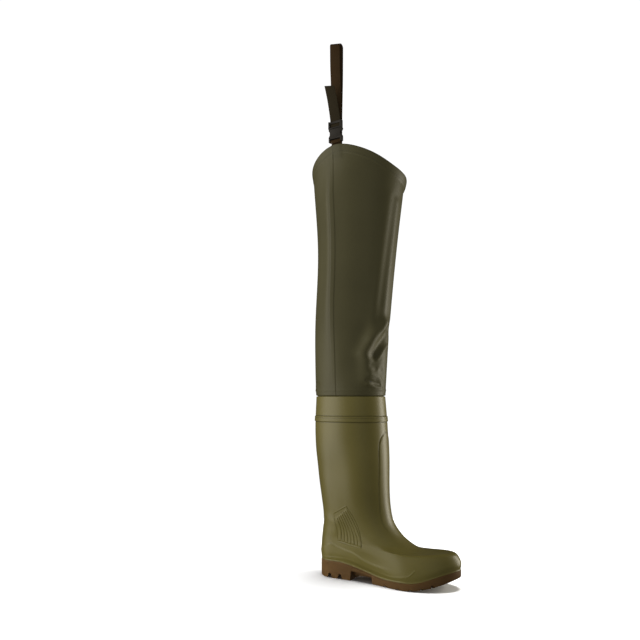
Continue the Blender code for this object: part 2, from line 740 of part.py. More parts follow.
def ribbon(name, path):
    """Webbing along a path in the strap's side view; its upper stretch leans to the front."""
    half = WEBBING_WIDTH / 2.0
    shape = bmesh.new()
    stations = []
    for k, point in enumerate(path):
        before = path[max(k - 1, 0)]
        after = path[min(k + 1, len(path) - 1)]
        run = Vector((after.out - before.out, after.z - before.z)).normalized()
        side = Vector((run.y, -run.x)) * WEBBING_THICK / 2.0
        lean = STRAP_SKEW * half * smooth(STRAP_SKEW_LOW_Z, STRAP_SKEW_HIGH_Z, point.z)
        stations.append((
            strap_point(-half, point.out - side.x, point.z - side.y + lean),
            strap_point(half, point.out - side.x, point.z - side.y - lean),
            strap_point(half, point.out + side.x, point.z + side.y - lean),
            strap_point(-half, point.out + side.x, point.z + side.y + lean),
        ))
    add_bar(shape, stations)
    return finish(name, shape, WEBBING, parts)


# Short webbing tab: from inside the leg, over the socket's bar and down in front
tab_radius = SOCKET_BAR_RADIUS + GAP + WEBBING_THICK / 2.0
tab_path = list(TAB_PATH) + arc(BAR_OUT, SOCKET_BAR_Z, tab_radius, 180.0, 0.0, 6)
tab_path.append(PathPoint(BAR_OUT + tab_radius, SOCKET_BAR_Z - 5.0))
webbing_tab = ribbon("webbing_tab", tab_path)

# Long webbing strap: from inside the leg up the back, over the top, down to the plug and the free tail
loop_radius = (STRAP_FALL_PATH[0].out - STRAP_RISE_PATH[-1].out) / 2.0
loop_centre = (STRAP_FALL_PATH[0].out + STRAP_RISE_PATH[-1].out) / 2.0
loop_top = arc(loop_centre, STRAP_FALL_PATH[0].z, loop_radius, 180.0, 0.0, 8)
plug_radius = PLUG_BAR_RADIUS + GAP + WEBBING_THICK / 2.0
plug_turn = arc(BAR_OUT, PLUG_BAR_Z, plug_radius, 180.0, 360.0, 6)
strap_path = list(STRAP_RISE_PATH[:-1]) + loop_top + list(STRAP_FALL_PATH[1:])
strap_path += plug_turn + list(TAIL_PATH)
webbing_strap = ribbon("webbing_strap", strap_path)

# Buckle socket: block with a mouth, two side windows and a bar for the tab
full_width = (-BUCKLE_HALF_WIDTH, BUCKLE_HALF_WIDTH)
full_depth = (BUCKLE_BACK, BUCKLE_FRONT)
slot_width = (-SLOT_HALF_WIDTH, SLOT_HALF_WIDTH)
past_depth = (BUCKLE_BACK - 6.0, PLUG_FRONT + 6.0)
mouth_depth = (TONGUE_BACK - GAP, TONGUE_FRONT + GAP)
socket_height = (SOCKET_FOOT_Z, SOCKET_TOP_Z)
buckle_socket = box_object("buckle_socket", full_width, full_depth, socket_height, PLASTIC, parts)
slot_height = (SOCKET_FOOT_Z - 3.0, SOCKET_BODY_Z)
socket_slot = box_object("socket_slot", slot_width, past_depth, slot_height, None, cutters)
combine(buckle_socket, socket_slot, "DIFFERENCE")
mouth_width = (-MOUTH_HALF_WIDTH, MOUTH_HALF_WIDTH)
mouth_height = (MOUTH_FOOT_Z, SOCKET_TOP_Z + 3.0)
socket_mouth = box_object("socket_mouth", mouth_width, mouth_depth, mouth_height, None, cutters)
combine(buckle_socket, socket_mouth, "DIFFERENCE")
window_width = (-BUCKLE_HALF_WIDTH - 3.0, BUCKLE_HALF_WIDTH + 3.0)
window_depth = (TONGUE_BACK - WINDOW_GAP, TONGUE_FRONT + WINDOW_GAP)
window_height = (WINDOW_LOW_Z, WINDOW_HIGH_Z)
socket_window = box_object("socket_window", window_width, window_depth, window_height, None, cutters)
combine(buckle_socket, socket_window, "DIFFERENCE")
socket_bar = rod_object("socket_bar", SLOT_HALF_WIDTH + 1.0, SOCKET_BAR_RADIUS, BAR_OUT, SOCKET_BAR_Z)
combine(buckle_socket, socket_bar, "UNION")

# Buckle plug: two rails with a bar and a front lip for the strap, a tongue and two springy prongs
plug_depth = (PLUG_BACK, PLUG_FRONT)
buckle_plug = box_object("buckle_plug", full_width, plug_depth, (PLUG_FOOT_Z, PLUG_TOP_Z), PLASTIC, parts)
plug_slot = box_object("plug_slot", slot_width, past_depth, (PLUG_BASE_Z, PLUG_TOP_Z + 3.0), None, cutters)
combine(buckle_plug, plug_slot, "DIFFERENCE")
lip_width = (-SLOT_HALF_WIDTH - 1.5, SLOT_HALF_WIDTH + 1.5)
lip_depth = (PLUG_LIP_BACK, PLUG_FRONT - 0.2)
plug_lip = box_object("plug_lip", lip_width, lip_depth, (PLUG_LIP_Z, PLUG_TOP_Z - 0.4), None, cutters)
combine(buckle_plug, plug_lip, "UNION")
plug_bar = rod_object("plug_bar", SLOT_HALF_WIDTH + 1.0, PLUG_BAR_RADIUS, BAR_OUT, PLUG_BAR_Z)
combine(buckle_plug, plug_bar, "UNION")
PRONG_EDGE = MOUTH_HALF_WIDTH - GAP
PRONG_OUTLINE = (
    (PRONG_INNER, TONGUE_FOOT_Z),
    (PRONG_EDGE, TONGUE_FOOT_Z),
    (PRONG_EDGE, WINDOW_LOW_Z + 0.5),
    (PRONG_SHOULDER, WINDOW_LOW_Z + 2.0),
    (PRONG_SHOULDER, WINDOW_HIGH_Z - 0.5),
    (PRONG_EDGE, WINDOW_HIGH_Z - 0.5),
    (PRONG_EDGE, PLUG_FOOT_Z + 1.0),
    (PRONG_INNER, PLUG_FOOT_Z + 1.0),
)
tongues = bmesh.new()
tongue_width = (-TONGUE_HALF_WIDTH, TONGUE_HALF_WIDTH)
tongue_depth = (TONGUE_BACK, TONGUE_FRONT)
add_box(tongues, tongue_width, tongue_depth, (TONGUE_FOOT_Z, PLUG_FOOT_Z + 1.0))
for side in (-1.0, 1.0):
    faces = []
    for out in (TONGUE_BACK, TONGUE_FRONT):
        faces.append([strap_point(side * along, out, z) for along, z in PRONG_OUTLINE])
    rows = skin(tongues, faces, False)
    tongues.faces.new(rows[0])
    tongues.faces.new(rows[1])
combine(buckle_plug, finish("plug_tongues", tongues, None, cutters), "UNION")

# The origin sits under the middle of the whole part
corners = [vertex.co for piece in parts.objects for vertex in piece.data.vertices]
middle_x = (min(point.x for point in corners) + max(point.x for point in corners)) / 2.0
middle_y = (min(point.y for point in corners) + max(point.y for point in corners)) / 2.0
floor_z = min(point.z for point in corners)
for collection in (parts, cutters):
    for piece in collection.objects:
        piece.data.transform(Matrix.Translation((-middle_x, -middle_y, -floor_z)))
print("moved by", round(-middle_x / MM, 3), round(-middle_y / MM, 3), round(-floor_z / MM, 3), "mm")
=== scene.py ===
# %% [markdown]
# # Thigh wader boot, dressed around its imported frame
# The real thing is a moulded olive boot with a long leg of coated cloth fixed into its cuff, a brown lugged
# outsole and a webbing belt strap with a small buckle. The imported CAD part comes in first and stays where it
# is. Each step below makes one piece in the same frame, finer than the CAD solid that it stands for.

# %% Load the frame
import math

import bmesh
import bpy
import numpy as np
from mathutils import Matrix, Vector


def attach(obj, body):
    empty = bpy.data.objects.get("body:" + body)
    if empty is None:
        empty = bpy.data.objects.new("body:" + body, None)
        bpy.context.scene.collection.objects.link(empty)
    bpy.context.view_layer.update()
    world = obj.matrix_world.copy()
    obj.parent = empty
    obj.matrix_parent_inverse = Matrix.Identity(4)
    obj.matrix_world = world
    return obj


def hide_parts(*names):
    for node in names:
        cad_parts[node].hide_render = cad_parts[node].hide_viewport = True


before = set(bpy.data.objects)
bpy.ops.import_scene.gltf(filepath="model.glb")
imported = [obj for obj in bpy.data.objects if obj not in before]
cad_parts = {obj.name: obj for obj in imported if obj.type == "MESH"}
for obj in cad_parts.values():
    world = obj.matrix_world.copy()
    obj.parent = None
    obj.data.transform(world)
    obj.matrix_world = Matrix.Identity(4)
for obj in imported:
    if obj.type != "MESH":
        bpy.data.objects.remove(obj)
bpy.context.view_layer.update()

MM = 0.001

# %% [markdown]
# ## One frame for all sizes
# A boot maker measures from the axis of the shaft: the toe points along +X, the outer side of this right
# foot lies towards -Y, and the floor is at zero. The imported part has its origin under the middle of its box,
# so one shift joins the two. Sizes stay in millimetres until a mesh is written. Soft steps and bells are all
# that the relief of this object needs, so they are defined once.

# %% Shift and small helpers
SHAFT_AXIS = np.array((-73.983, 14.392, 0.0))


def to_metres(points):
    """Points in millimetres from the shaft axis, as points of the part."""
    return (np.asarray(points, float) + SHAFT_AXIS) * MM


def smooth(low, high, value):
    """Soft step from 0 at low to 1 at high."""
    share = np.clip((value - low) / (high - low), 0.0, 1.0)
    return share * share * (3.0 - 2.0 * share)


def ease(low, high, value):
    """Softer step from 0 at low to 1 at high, without a jump in its bend."""
    share = np.clip((value - low) / (high - low), 0.0, 1.0)
    return share ** 3 * (10.0 - 15.0 * share + 6.0 * share * share)


def fall(low, high, value):
    """Soft step from 1 at low to 0 at high."""
    return 1.0 - smooth(low, high, value)


def plateau(rise_low, rise_high, fall_low, fall_high, value):
    """Soft step up to 1 and down to 0 again."""
    return smooth(rise_low, rise_high, value) * fall(fall_low, fall_high, value)


def bell(distance, width):
    """Round bump of height 1 that dies away over its width."""
    return np.exp(-((distance / width) ** 2))


def through(before, start, stop, after, share):
    """Place on a smooth curve from start to stop that heeds its two neighbours."""
    bend = (2.0 * before - 5.0 * start + 4.0 * stop - after) * share ** 2
    twist = (3.0 * start - before - 3.0 * stop + after) * share ** 3
    return start + 0.5 * ((stop - before) * share + bend + twist)


def follow(table, value):
    """Second column of a short table at any value of its first."""
    places, heights = zip(*table)
    return np.interp(value, places, heights)


def walk(start, stop, step_at):
    """Places from start up to stop, with a step that may change on the way."""
    places = [start]
    while places[-1] + step_at(places[-1]) < stop:
        places.append(places[-1] + step_at(places[-1]))
    return np.array(places)


print("shaft axis at", SHAFT_AXIS[:2], "mm in the part's frame")

# %% [markdown]
# ## Node trees as sums
# Materials and Geometry Nodes are both trees of small nodes. Wiring each Math node by hand is long to read,
# so a wire between two nodes becomes a Python value: adding two wires adds the Math node that adds them. One
# method makes any other node from its type, its settings and what goes into its sockets.

# %% Wires and trees
class Wire:
    """A value on its way between two nodes."""

    def __init__(self, maker, socket):
        self.maker = maker
        self.socket = socket

    def calc(self, operation, first, second=0.0):
        return self.maker.node("ShaderNodeMath", {"operation": operation}, {0: first, 1: second})

    def __add__(self, other):
        return self.calc("ADD", self, other)

    def __mul__(self, other):
        return self.calc("MULTIPLY", self, other)

    def __sub__(self, other):
        return self.calc("SUBTRACT", self, other)

    def __rsub__(self, other):
        return self.calc("SUBTRACT", other, self)

    def __pow__(self, other):
        return self.calc("POWER", self, other)

    __radd__ = __add__
    __rmul__ = __mul__

    def sine(self):
        return self.calc("SINE", self)

    def size(self):
        return self.calc("ABSOLUTE", self)

    def step(self, low, high):
        """Soft step from 0 at low to 1 at high."""
        limits = {"Value": self, "From Min": low, "From Max": high}
        return self.maker.node("ShaderNodeMapRange", {"interpolation_type": "SMOOTHSTEP"}, limits, "Result")


class Maker:
    """Adds nodes to one tree."""

    def __init__(self, tree):
        self.tree = tree

    def plug(self, socket, value):
        if isinstance(value, Wire):
            self.tree.links.new(value.socket, socket)
        else:
            socket.default_value = value

    def node(self, kind, settings=None, inputs=None, out=0):
        """New node, as the wire from one of its outputs."""
        made = self.tree.nodes.new(kind)
        for key, value in (settings or {}).items():
            setattr(made, key, value)
        for key, value in (inputs or {}).items():
            self.plug(made.inputs[key], value)
        return Wire(self, made.outputs[out]) if made.outputs else None


print("node helpers:", Wire.__name__, "and", Maker.__name__)

# %% Finishes
class Finish(Maker):
    """A Principled material; its colour and roughness may change over the surface."""

    def __init__(self, name, roughness, **fixed):
        self.material = bpy.data.materials.new(name)
        self.material.use_nodes = True
        super().__init__(self.material.node_tree)
        self.shader = self.tree.nodes["Principled BSDF"]
        self.shader.inputs["Roughness"].default_value = roughness
        for key, value in fixed.items():
            self.shader.inputs[key.replace("_", " ")].default_value = value

    def feed(self, socket, value):
        self.plug(self.shader.inputs[socket], value)

    def place(self):
        return self.node("ShaderNodeTexCoord", out="Object")

    def noise(self, scale, detail=3.0, where=None):
        inputs = {"Vector": where or self.place(), "Scale": scale, "Detail": detail}
        return self.node("ShaderNodeTexNoise", None, inputs, "Fac")

    def attribute(self, name):
        return self.node("ShaderNodeAttribute", {"attribute_name": name}, None, "Fac")

    def mix(self, factor, first, second):
        colours = {"Factor": factor, 6: first, 7: second}
        for key in (6, 7):
            if not isinstance(colours[key], Wire):
                colours[key] = (*colours[key], 1.0)
        return self.node("ShaderNodeMix", {"data_type": "RGBA"}, colours, 2)

    def bump(self, height, distance, strength=1.0):
        inputs = {"Height": height, "Distance": distance, "Strength": strength}
        return self.node("ShaderNodeBump", None, inputs)


print("helper for materials:", Finish.__name__)

# %% [markdown]
# ## Olive polyurethane
# The boot is foamed polyurethane with a closed satin skin. A plain green looks like a toy, so the colour
# drifts a little over a hand's width, as foamed skins do, a fine grain breaks up the highlight, and the
# grooves are darkened as painted shade. The painted shade comes from an attribute that the mesh carries.

# %% Olive polyurethane
def olive_finish():
    """Satin skin of the moulded boot."""
    finish = Finish("olive_polyurethane", 0.42, Specular_IOR_Level=0.33)
    drift = finish.noise(9.0, 4.0)
    grain = finish.noise(1400.0, 2.0)
    colour = finish.mix(drift.step(0.3, 0.7), (0.094, 0.079, 0.0190), (0.107, 0.090, 0.0221))
    # Painted shade: the colour is darkened in the grooves of the relief, by an attribute of the mesh.
    colour = finish.mix(finish.attribute("painted_shade"), colour, (0.030, 0.026, 0.008))
    finish.feed("Base Color", colour)
    finish.feed("Roughness", 0.36 + 0.08 * drift + 0.04 * grain)
    finish.feed("Normal", finish.bump(grain, 0.00006, 0.5))
    return finish.material


OLIVE = olive_finish()
print("made", OLIVE.name)

# %% [markdown]
# ## The shape of the boot
# A boot on its last is a stack of closed rings. The lowest follows the feather line, where upper and outsole
# meet, and lies almost level; higher rings tilt until they stand across the ankle; the last is the level
# collar. A short table gives each ring's front and back points and its half widths at ball, waist and heel,
# and a smooth curve runs through the rows, so that any level between two rings has a shape of its own.

# %% Boot table
BOOT_COLUMNS = "front_x front_z back_x back_z droop ball_out ball_in waist_out waist_in heel front back tip"
BOOT_ROWS = np.array((
    (233.0, 39.0, -69.0, 34.0, 22.5, 53.0, 52.0, 35.0, 32.0, 36.0, 0.34, 0.125, 9.0),
    (235.0, 52.0, -71.0, 50.0, 21.5, 53.5, 52.0, 38.0, 34.0, 37.5, 0.34, 0.130, 9.0),
    (228.5, 62.0, -70.0, 68.0, 14.5, 51.0, 49.0, 40.0, 36.0, 38.0, 0.34, 0.140, 9.0),
    (216.0, 69.7, -68.5, 85.0, 9.5, 47.0, 45.0, 42.0, 38.0, 39.0, 0.37, 0.160, 8.0),
    (187.0, 66.5, -66.5, 99.0, 7.0, 43.5, 42.0, 43.0, 40.0, 41.0, 0.41, 0.190, 6.0),
    (155.0, 69.2, -64.3, 113.0, 5.0, 42.0, 41.0, 44.0, 42.0, 43.0, 0.45, 0.230, 4.0),
    (129.0, 81.5, -64.5, 127.0, 4.0, 42.0, 41.0, 46.0, 44.0, 45.0, 0.48, 0.280, 2.0),
    (108.8, 97.8, -66.8, 143.0, 2.0, 44.0, 43.0, 48.0, 46.0, 46.0, 0.49, 0.360, 1.0),
    (92.3, 120.0, -70.3, 166.0, 1.0, 48.0, 47.0, 50.0, 49.0, 49.0, 0.50, 0.430, 0.0),
    (85.2, 151.0, -75.0, 198.0, 0.0, 52.0, 52.0, 53.0, 53.0, 53.0, 0.50, 0.480, 0.0),
    (83.0, 190.0, -79.3, 235.0, 0.0, 56.0, 56.0, 56.0, 56.0, 56.0, 0.50, 0.500, 0.0),
    (83.0, 250.0, -83.0, 272.0, 0.0, 60.0, 60.0, 60.0, 60.0, 60.0, 0.50, 0.500, 0.0),
    (80.0, 318.0, -84.0, 318.0, 0.0, 61.5, 61.5, 61.5, 61.5, 61.5, 0.50, 0.500, 0.0),
    (75.5, 377.0, -81.5, 377.0, 0.0, 60.0, 60.0, 60.0, 60.0, 60.0, 0.50, 0.500, 0.0),
))
COLLAR = len(BOOT_ROWS) - 1
CUFF_FOOT_Z = 318.0
COLLAR_Z = 377.0
BOOT_WALL = 3.2


def boot_row(level):
    """Columns of the boot table at any level, on a smooth curve through its rows."""
    level = np.clip(level, 0.0, COLLAR - 1e-9)
    low = level.astype(int)
    share = (level - low)[..., None]
    first = 2.0 * BOOT_ROWS[0] - BOOT_ROWS[1]
    last = 2.0 * BOOT_ROWS[-1] - BOOT_ROWS[-2]
    table = np.vstack((first, BOOT_ROWS, last))
    values = through(*(table[low + k] for k in range(4)), share)
    return dict(zip(BOOT_COLUMNS.split(), np.moveaxis(values, -1, 0)))


print("boot table:", len(BOOT_ROWS), "rings,", len(BOOT_COLUMNS.split()), "sizes each")

# %% Points of the boot
def round_end(share):
    """Height of a quarter circle over its base."""
    return np.sqrt(np.maximum(0.0, 1.0 - (1.0 - np.clip(share, 0.0, 1.0)) ** 2))


def ring_height(row, share):
    """Height of a ring at a share of the way from its front to its back."""
    dip = plateau(-0.03, 0.28, 0.43, 0.85, share)
    return row["front_z"] + (row["back_z"] - row["front_z"]) * share - row["droop"] * dip


def boot_point(level, angle):
    """Points of the plain boot: angle 0 is the front, a quarter turn the outer side."""
    level, angle = np.broadcast_arrays(np.asarray(level, float), np.asarray(angle, float))
    row = boot_row(level)
    share = (1.0 - np.cos(angle)) / 2.0
    outer = np.sin(angle) > 0.0
    ball = np.where(outer, row["ball_out"], row["ball_in"])
    waist = np.where(outer, row["waist_out"], row["waist_in"])
    width = ball + (waist - ball) * ease(0.25, 0.66, share)
    width = width + (row["heel"] - waist) * smooth(0.58, 0.86, share)
    width = width * round_end(share / row["front"]) * round_end((1.0 - share) / row["back"])
    tip = row["tip"] * np.maximum(0.0, 1.0 - share / 0.4) ** 2
    x = row["front_x"] + (row["back_x"] - row["front_x"]) * share
    y = np.where(outer, tip - width, tip + width)
    return np.stack((x, y, ring_height(row, share)), axis=-1)


plain = boot_point(np.linspace(0.0, COLLAR, 60)[:, None], np.linspace(-np.pi, np.pi, 90)[None, :])
print("plain boot, mm:", np.round(plain.min((0, 1)), 1), np.round(plain.max((0, 1)), 1))

# %% Directions and places on the wall
def unit(vectors):
    """Vectors of length 1."""
    return vectors / np.linalg.norm(vectors, axis=-1, keepdims=True)


def boot_outward(level, angle):
    """Direction out of the boot's wall; level at the feather line and at the collar."""
    level, angle = np.broadcast_arrays(np.asarray(level, float), np.asarray(angle, float))
    up = boot_point(level + 0.05, angle) - boot_point(level - 0.05, angle)
    along = boot_point(level, angle + 0.02) - boot_point(level, angle - 0.02)
    out = np.cross(up, along)
    edge = (level <= 0.0) | (level >= COLLAR)
    out[..., 2] = np.where(edge, 0.0, out[..., 2])
    return unit(out)


def cuff_level(z):
    """Level of a height in the upright cuff."""
    return COLLAR - 1 + (z - CUFF_FOOT_Z) / (COLLAR_Z - CUFF_FOOT_Z)


def ring_share(row, x):
    """Share of the way from a ring's front to its back at a place along the foot."""
    return (row["front_x"] - x) / (row["front_x"] - row["back_x"])


def side_place(x, z, side):
    """Level and angle of the side wall at a place along the foot and a height, found by halving."""
    low, high = np.zeros(x.shape), np.full(x.shape, float(COLLAR))
    for _ in range(40):
        middle = (low + high) / 2.0
        row = boot_row(middle)
        below = ring_height(row, ring_share(row, x)) < z
        low = np.where(below, middle, low)
        high = np.where(below, high, middle)
    share = ring_share(boot_row(low), x)
    return low, side * np.arccos(np.clip(1.0 - 2.0 * share, -1.0, 1.0))


print("the collar is at level", cuff_level(COLLAR_Z))

# %% [markdown]
# ## Meshes from rings
# A tube of rings can be lofted by hand or with Screw and Skin tools. Here the rings are arrays, so the quads
# between neighbours are one line of counting. The outer rings run up, the inner ones down again, and the last
# joins the first: that gives a wall with real thickness whose faces all point outwards.

# %% Mesh helpers
def new_object(name, data):
    """Object of the scene, at the origin, that holds a mesh, a light or a camera."""
    made = bpy.data.objects.new(name, data)
    bpy.context.scene.collection.objects.link(made)
    return made


def shade_smooth(piece, sharp=None):
    """Smooth faces, with creases where the form turns by more than a sharp angle in degrees."""
    piece.data.polygons.foreach_set("use_smooth", [True] * len(piece.data.polygons))
    if sharp:
        piece.data.set_sharp_from_angle(angle=math.radians(sharp))


def paint(piece, *materials):
    """Give a piece its finishes."""
    piece.data.materials.clear()
    for material in materials:
        piece.data.materials.append(material)


def new_piece(name, points, faces, *materials):
    """Smooth piece from points in millimetres, with its place in its mesh."""
    mesh = bpy.data.meshes.new(name)
    mesh.from_pydata(to_metres(points).tolist(), [], np.asarray(faces).tolist())
    piece = new_object(name, mesh)
    paint(piece, *materials)
    shade_smooth(piece)
    mesh.update()
    return piece


def new_line(name, points, closed=False):
    """Line through points in millimetres, for a node tree to follow."""
    edges = [(k, k + 1) for k in range(len(points) - 1)]
    if closed:
        edges.append((len(points) - 1, 0))
    mesh = bpy.data.meshes.new(name)
    mesh.from_pydata(to_metres(points).tolist(), edges, [])
    return new_object(name, mesh)


# %% Faces, attributes and roles
def loop_faces(rings, columns):
    """Quads of closed rings that run up outside and down inside, back to the first."""
    column = np.arange(columns)[None, :]
    after = (column + 1) % columns
    ring = np.arange(rings)[:, None]
    above = (ring + 1) % rings * columns
    ring = ring * columns
    corners = (ring + column, above + column, above + after, ring + after)
    return np.stack(np.broadcast_arrays(*corners), axis=-1).reshape(-1, 4)


def give_attribute(piece, name, values):
    """One number for each point of a piece, for its material or its node tree."""
    layer = piece.data.attributes.new(name, "FLOAT", "POINT")
    layer.data.foreach_set("value", np.asarray(values, np.float32).ravel())


def wear(piece, node):
    """The piece moves with the whole part and hides the CAD solid that it stands for, if there is one."""
    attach(piece, "root")
    if node:
        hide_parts(node)
    piece.data.validate()
    print(piece.name, "has", len(piece.data.polygons), "faces")


def line_distance(across, along, line):
    """Distance in millimetres from places on a wall to a broken line on it."""
    best = np.full(np.broadcast(across, along).shape, 1e9)
    for (a0, b0), (a1, b1) in zip(line, line[1:]):
        run = np.array((a1 - a0, b1 - b0))
        share = ((across - a0) * run[0] + (along - b0) * run[1]) / (run @ run)
        share = np.clip(share, 0.0, 1.0)
        best = np.minimum(best, np.hypot(across - a0 - share * run[0], along - b0 - share * run[1]))
    return best


print("a wall of 4 rings and 8 columns has", len(loop_faces(4, 8)), "faces")

# %% [markdown]
# ## The moulded boot
# The wall carries its relief as geometry, because it shows in the outline and in the highlights: a rand that
# steps out above the sole, a heel contour over it, a short tick at the toe, a band around the cuff with a
# line in it, and a raised panel up the shin that ends in an arch. Toe and waist swell a little and the sides
# of the ankle are pressed flat, which bends the highlights as in the photo. Each is a height over the plain
# wall, placed by level and by angle. Levels count the rows of the boot table, and angles are degrees from
# the toe.

# %% Sizes of the boot's relief
BAND_LOW_Z = 324.0
BAND_HIGH_Z = 335.0
BAND_STEP = 1.5
BEAD_LEVEL = 0.10
BEAD_STEP = 0.7
RAND_STEP = 0.65
RAND_EDGE = ((60.0, 0.90), (65.0, 0.90), (70.0, 0.74), (80.0, 0.62), (85.0, 0.76), (93.0, 0.84),
             (103.0, 0.78), (114.5, 0.84), (121.5, 0.72), (130.0, 0.60), (145.0, 0.48), (180.0, 0.40))
HEEL_STEP = 0.8
HEEL_CONTOUR = ((70.0, 1.39), (92.0, 1.38), (100.0, 1.41), (105.5, 1.54), (112.5, 1.80), (121.5, 1.82),
                (129.0, 1.96), (135.0, 2.26), (139.0, 2.20), (147.0, 1.78), (156.0, 1.42), (165.0, 1.20),
                (180.0, 1.10))
LEDGE_SOFT = 0.18
SHIN_STEP = 1.0
SHIN_EDGE = ((7.0, 31.5), (7.53, 30.0), (8.25, 28.0), (9.05, 26.0), (9.85, 24.5), (10.6, 23.5), (11.2, 22.4),
             (11.4, 21.5), (11.52, 19.0), (11.6, 15.5), (11.68, 10.5), (11.74, 5.0), (11.75, 0.0))
SHIN_MM_PER_DEGREE = 1.06
TICK = ((64.5, 0.83), (58.0, 1.43))
TICK_STEP = 0.60
TICK_MM_PER_DEGREE = 2.1
TICK_MM_PER_LEVEL = 16.0
ANKLE_FLAT = 3.0
ANKLE_FLAT_WIDTH = 30.0
ANKLE_FLAT_X = ((60.0, 10.0), (100.0, 8.0), (165.0, -4.0), (240.0, -8.0), (300.0, -10.0))
TOE_SWELL = 2.5
TOE_SWELL_LEVEL = 2.35
WAIST_SWELL = 2.6
WAIST_TURN = 103.0
print("cuff band:", BAND_HIGH_Z - BAND_LOW_Z, "mm wide,", BAND_STEP, "mm proud")

# %% Relief of the boot
def ledge(level, edge, foot, height):
    """Ledge with an upper edge that catches the light and a face that leans back down to its foot."""
    face = np.clip((level - foot) / (edge - foot), 0.0, 1.0)
    return height * face * fall(edge - LEDGE_SOFT, edge + LEDGE_SOFT, level)


def side_swell(level, turn, x, z):
    """Broad form of the sides, in millimetres: the waist swells a little and the ankle is pressed flat."""
    side = np.abs(turn)
    waist = WAIST_SWELL * bell(side - WAIST_TURN, 20.0) * plateau(0.15, 1.0, 2.2, 4.2, level)
    tall = plateau(70.0, 110.0, 215.0, 300.0, z)
    beside = plateau(45.0, 70.0, 135.0, 160.0, side)
    return waist - ANKLE_FLAT * tall * beside * bell(x - follow(ANKLE_FLAT_X, z), ANKLE_FLAT_WIDTH)


def shin_reach(level, side):
    """Distance in millimetres inside the border of the shin panel, below zero outside it."""
    border_levels, border_turns = (np.array(column) for column in zip(*SHIN_EDGE))
    border = list(zip(border_turns * SHIN_MM_PER_DEGREE, boot_row(border_levels)["front_z"]))
    reach = line_distance(side * SHIN_MM_PER_DEGREE, boot_row(level)["front_z"], border)
    inside = (side < follow(SHIN_EDGE, level)) & (level < SHIN_EDGE[-1][0])
    return np.where(inside, reach, -reach)


def boot_relief(level, turn, x, z):
    """Height over the plain wall in millimetres, and the painted shade of its grooves from 0 to 1."""
    side = np.abs(turn)
    edge = follow(RAND_EDGE, side)
    contour = follow(HEEL_CONTOUR, side)
    toe = TOE_SWELL * bell(side, 50.0) * bell(level - TOE_SWELL_LEVEL, 0.75)
    bead = BEAD_STEP * fall(BEAD_LEVEL - 0.06, BEAD_LEVEL + 0.06, level)
    rand = ledge(level, edge, BEAD_LEVEL, RAND_STEP) * smooth(60.0, 70.0, side)
    heel = ledge(level, contour, edge, HEEL_STEP) * smooth(74.0, 90.0, side)
    tick_line = [(place * TICK_MM_PER_DEGREE, rise * TICK_MM_PER_LEVEL) for place, rise in TICK]
    tick = bell(line_distance(side * TICK_MM_PER_DEGREE, level * TICK_MM_PER_LEVEL, tick_line), 1.0)
    band = BAND_STEP * plateau(BAND_LOW_Z - 0.7, BAND_LOW_Z + 0.5, BAND_HIGH_Z - 0.5, BAND_HIGH_Z + 0.7, z)
    band_groove = bell(z - BAND_LOW_Z + 1.2, 0.8) + bell(z - BAND_HIGH_Z - 1.2, 0.8)
    band_line = bell(z - BAND_HIGH_Z + 3.6, 0.6)
    reach = shin_reach(level, side)
    fade = smooth(6.6, 8.2, level)
    shin = SHIN_STEP * smooth(-0.8, 1.4, reach) * fade
    shin_groove = bell(reach + 1.2, 0.9) * fade * (0.45 + 0.55 * smooth(10.6, 11.3, level))
    height = bead + rand + heel + band + shin + toe + TICK_STEP * tick + side_swell(level, turn, x, z)
    height = height - 0.35 * band_groove - 0.30 * band_line - 0.35 * shin_groove
    # Painted shade: the grooves at the cuff band, the line in it and the groove beside the shin panel are
    # darkened in colour.
    painted_shade = 0.75 * band_groove + 0.45 * band_line + 0.60 * shin_groove
    return height, np.clip(painted_shade, 0.0, 1.0)


print("the shin panel ends at level", SHIN_EDGE[-1][0])

# %% Mesh of the boot
def boot_turn_step(turn):
    """Finer columns where the shin panel ends and at the toe mark."""
    if 8.0 < abs(turn) < 36.0:
        return 0.65
    if 54.0 < abs(turn) < 68.0:
        return 0.45
    return 1.2 if 68.0 <= abs(turn) < 150.0 else 1.8


def boot_level_step(level):
    """Finer rings at the rand and around the cuff band."""
    steps = ((2.2, 0.040), (7.0, 0.09), (11.2, 0.08), (12.05, 0.030), (12.36, 0.009), (14.0, 0.05))
    return next(step for limit, step in steps if level < limit)


LIP = 1.1
boot_turns = walk(-180.0, 180.0, boot_turn_step)
boot_angles = np.radians(boot_turns)[None, :]
lip_level = cuff_level(COLLAR_Z - LIP)
boot_levels = np.append(walk(0.0, lip_level - 0.004, boot_level_step), lip_level)[:, None]
boot_wall = boot_point(boot_levels, boot_angles)
height, painted_shade = boot_relief(boot_levels, boot_turns[None, :], boot_wall[..., 0], boot_wall[..., 2])
outer = boot_wall + boot_outward(boot_levels, boot_angles) * height[..., None]
collar_level = np.array([[float(COLLAR)]])
collar = boot_point(collar_level, boot_angles)
collar_out = boot_outward(collar_level, boot_angles)
outer_lip = [(0.0, turn) for turn in (22.5, 45.0, 67.5, 90.0)]
inner_lip = [(BOOT_WALL, turn) for turn in (90.0, 60.0, 30.0, 0.0)]
lip = []
for face, turn in outer_lip + inner_lip:
    inset = abs(face - LIP * (1.0 - math.cos(math.radians(turn))))
    sink = LIP * (1.0 - math.sin(math.radians(turn)))
    lip.append(collar - collar_out * inset - [0.0, 0.0, sink])
inner_levels = np.linspace(cuff_level(COLLAR_Z - 3.0), 0.0, 22)[:, None]
inner = boot_point(inner_levels, boot_angles) - boot_outward(inner_levels, boot_angles) * BOOT_WALL
rings = np.concatenate((outer, np.concatenate(lip), inner))
boot = new_piece("moulded_boot", rings.reshape(-1, 3), loop_faces(len(rings), len(boot_turns)), OLIVE)
give_attribute(boot, "painted_shade", np.concatenate((painted_shade.ravel(), np.zeros(rings[len(outer):, :, 0].size))))
wear(boot, "boot_upper")

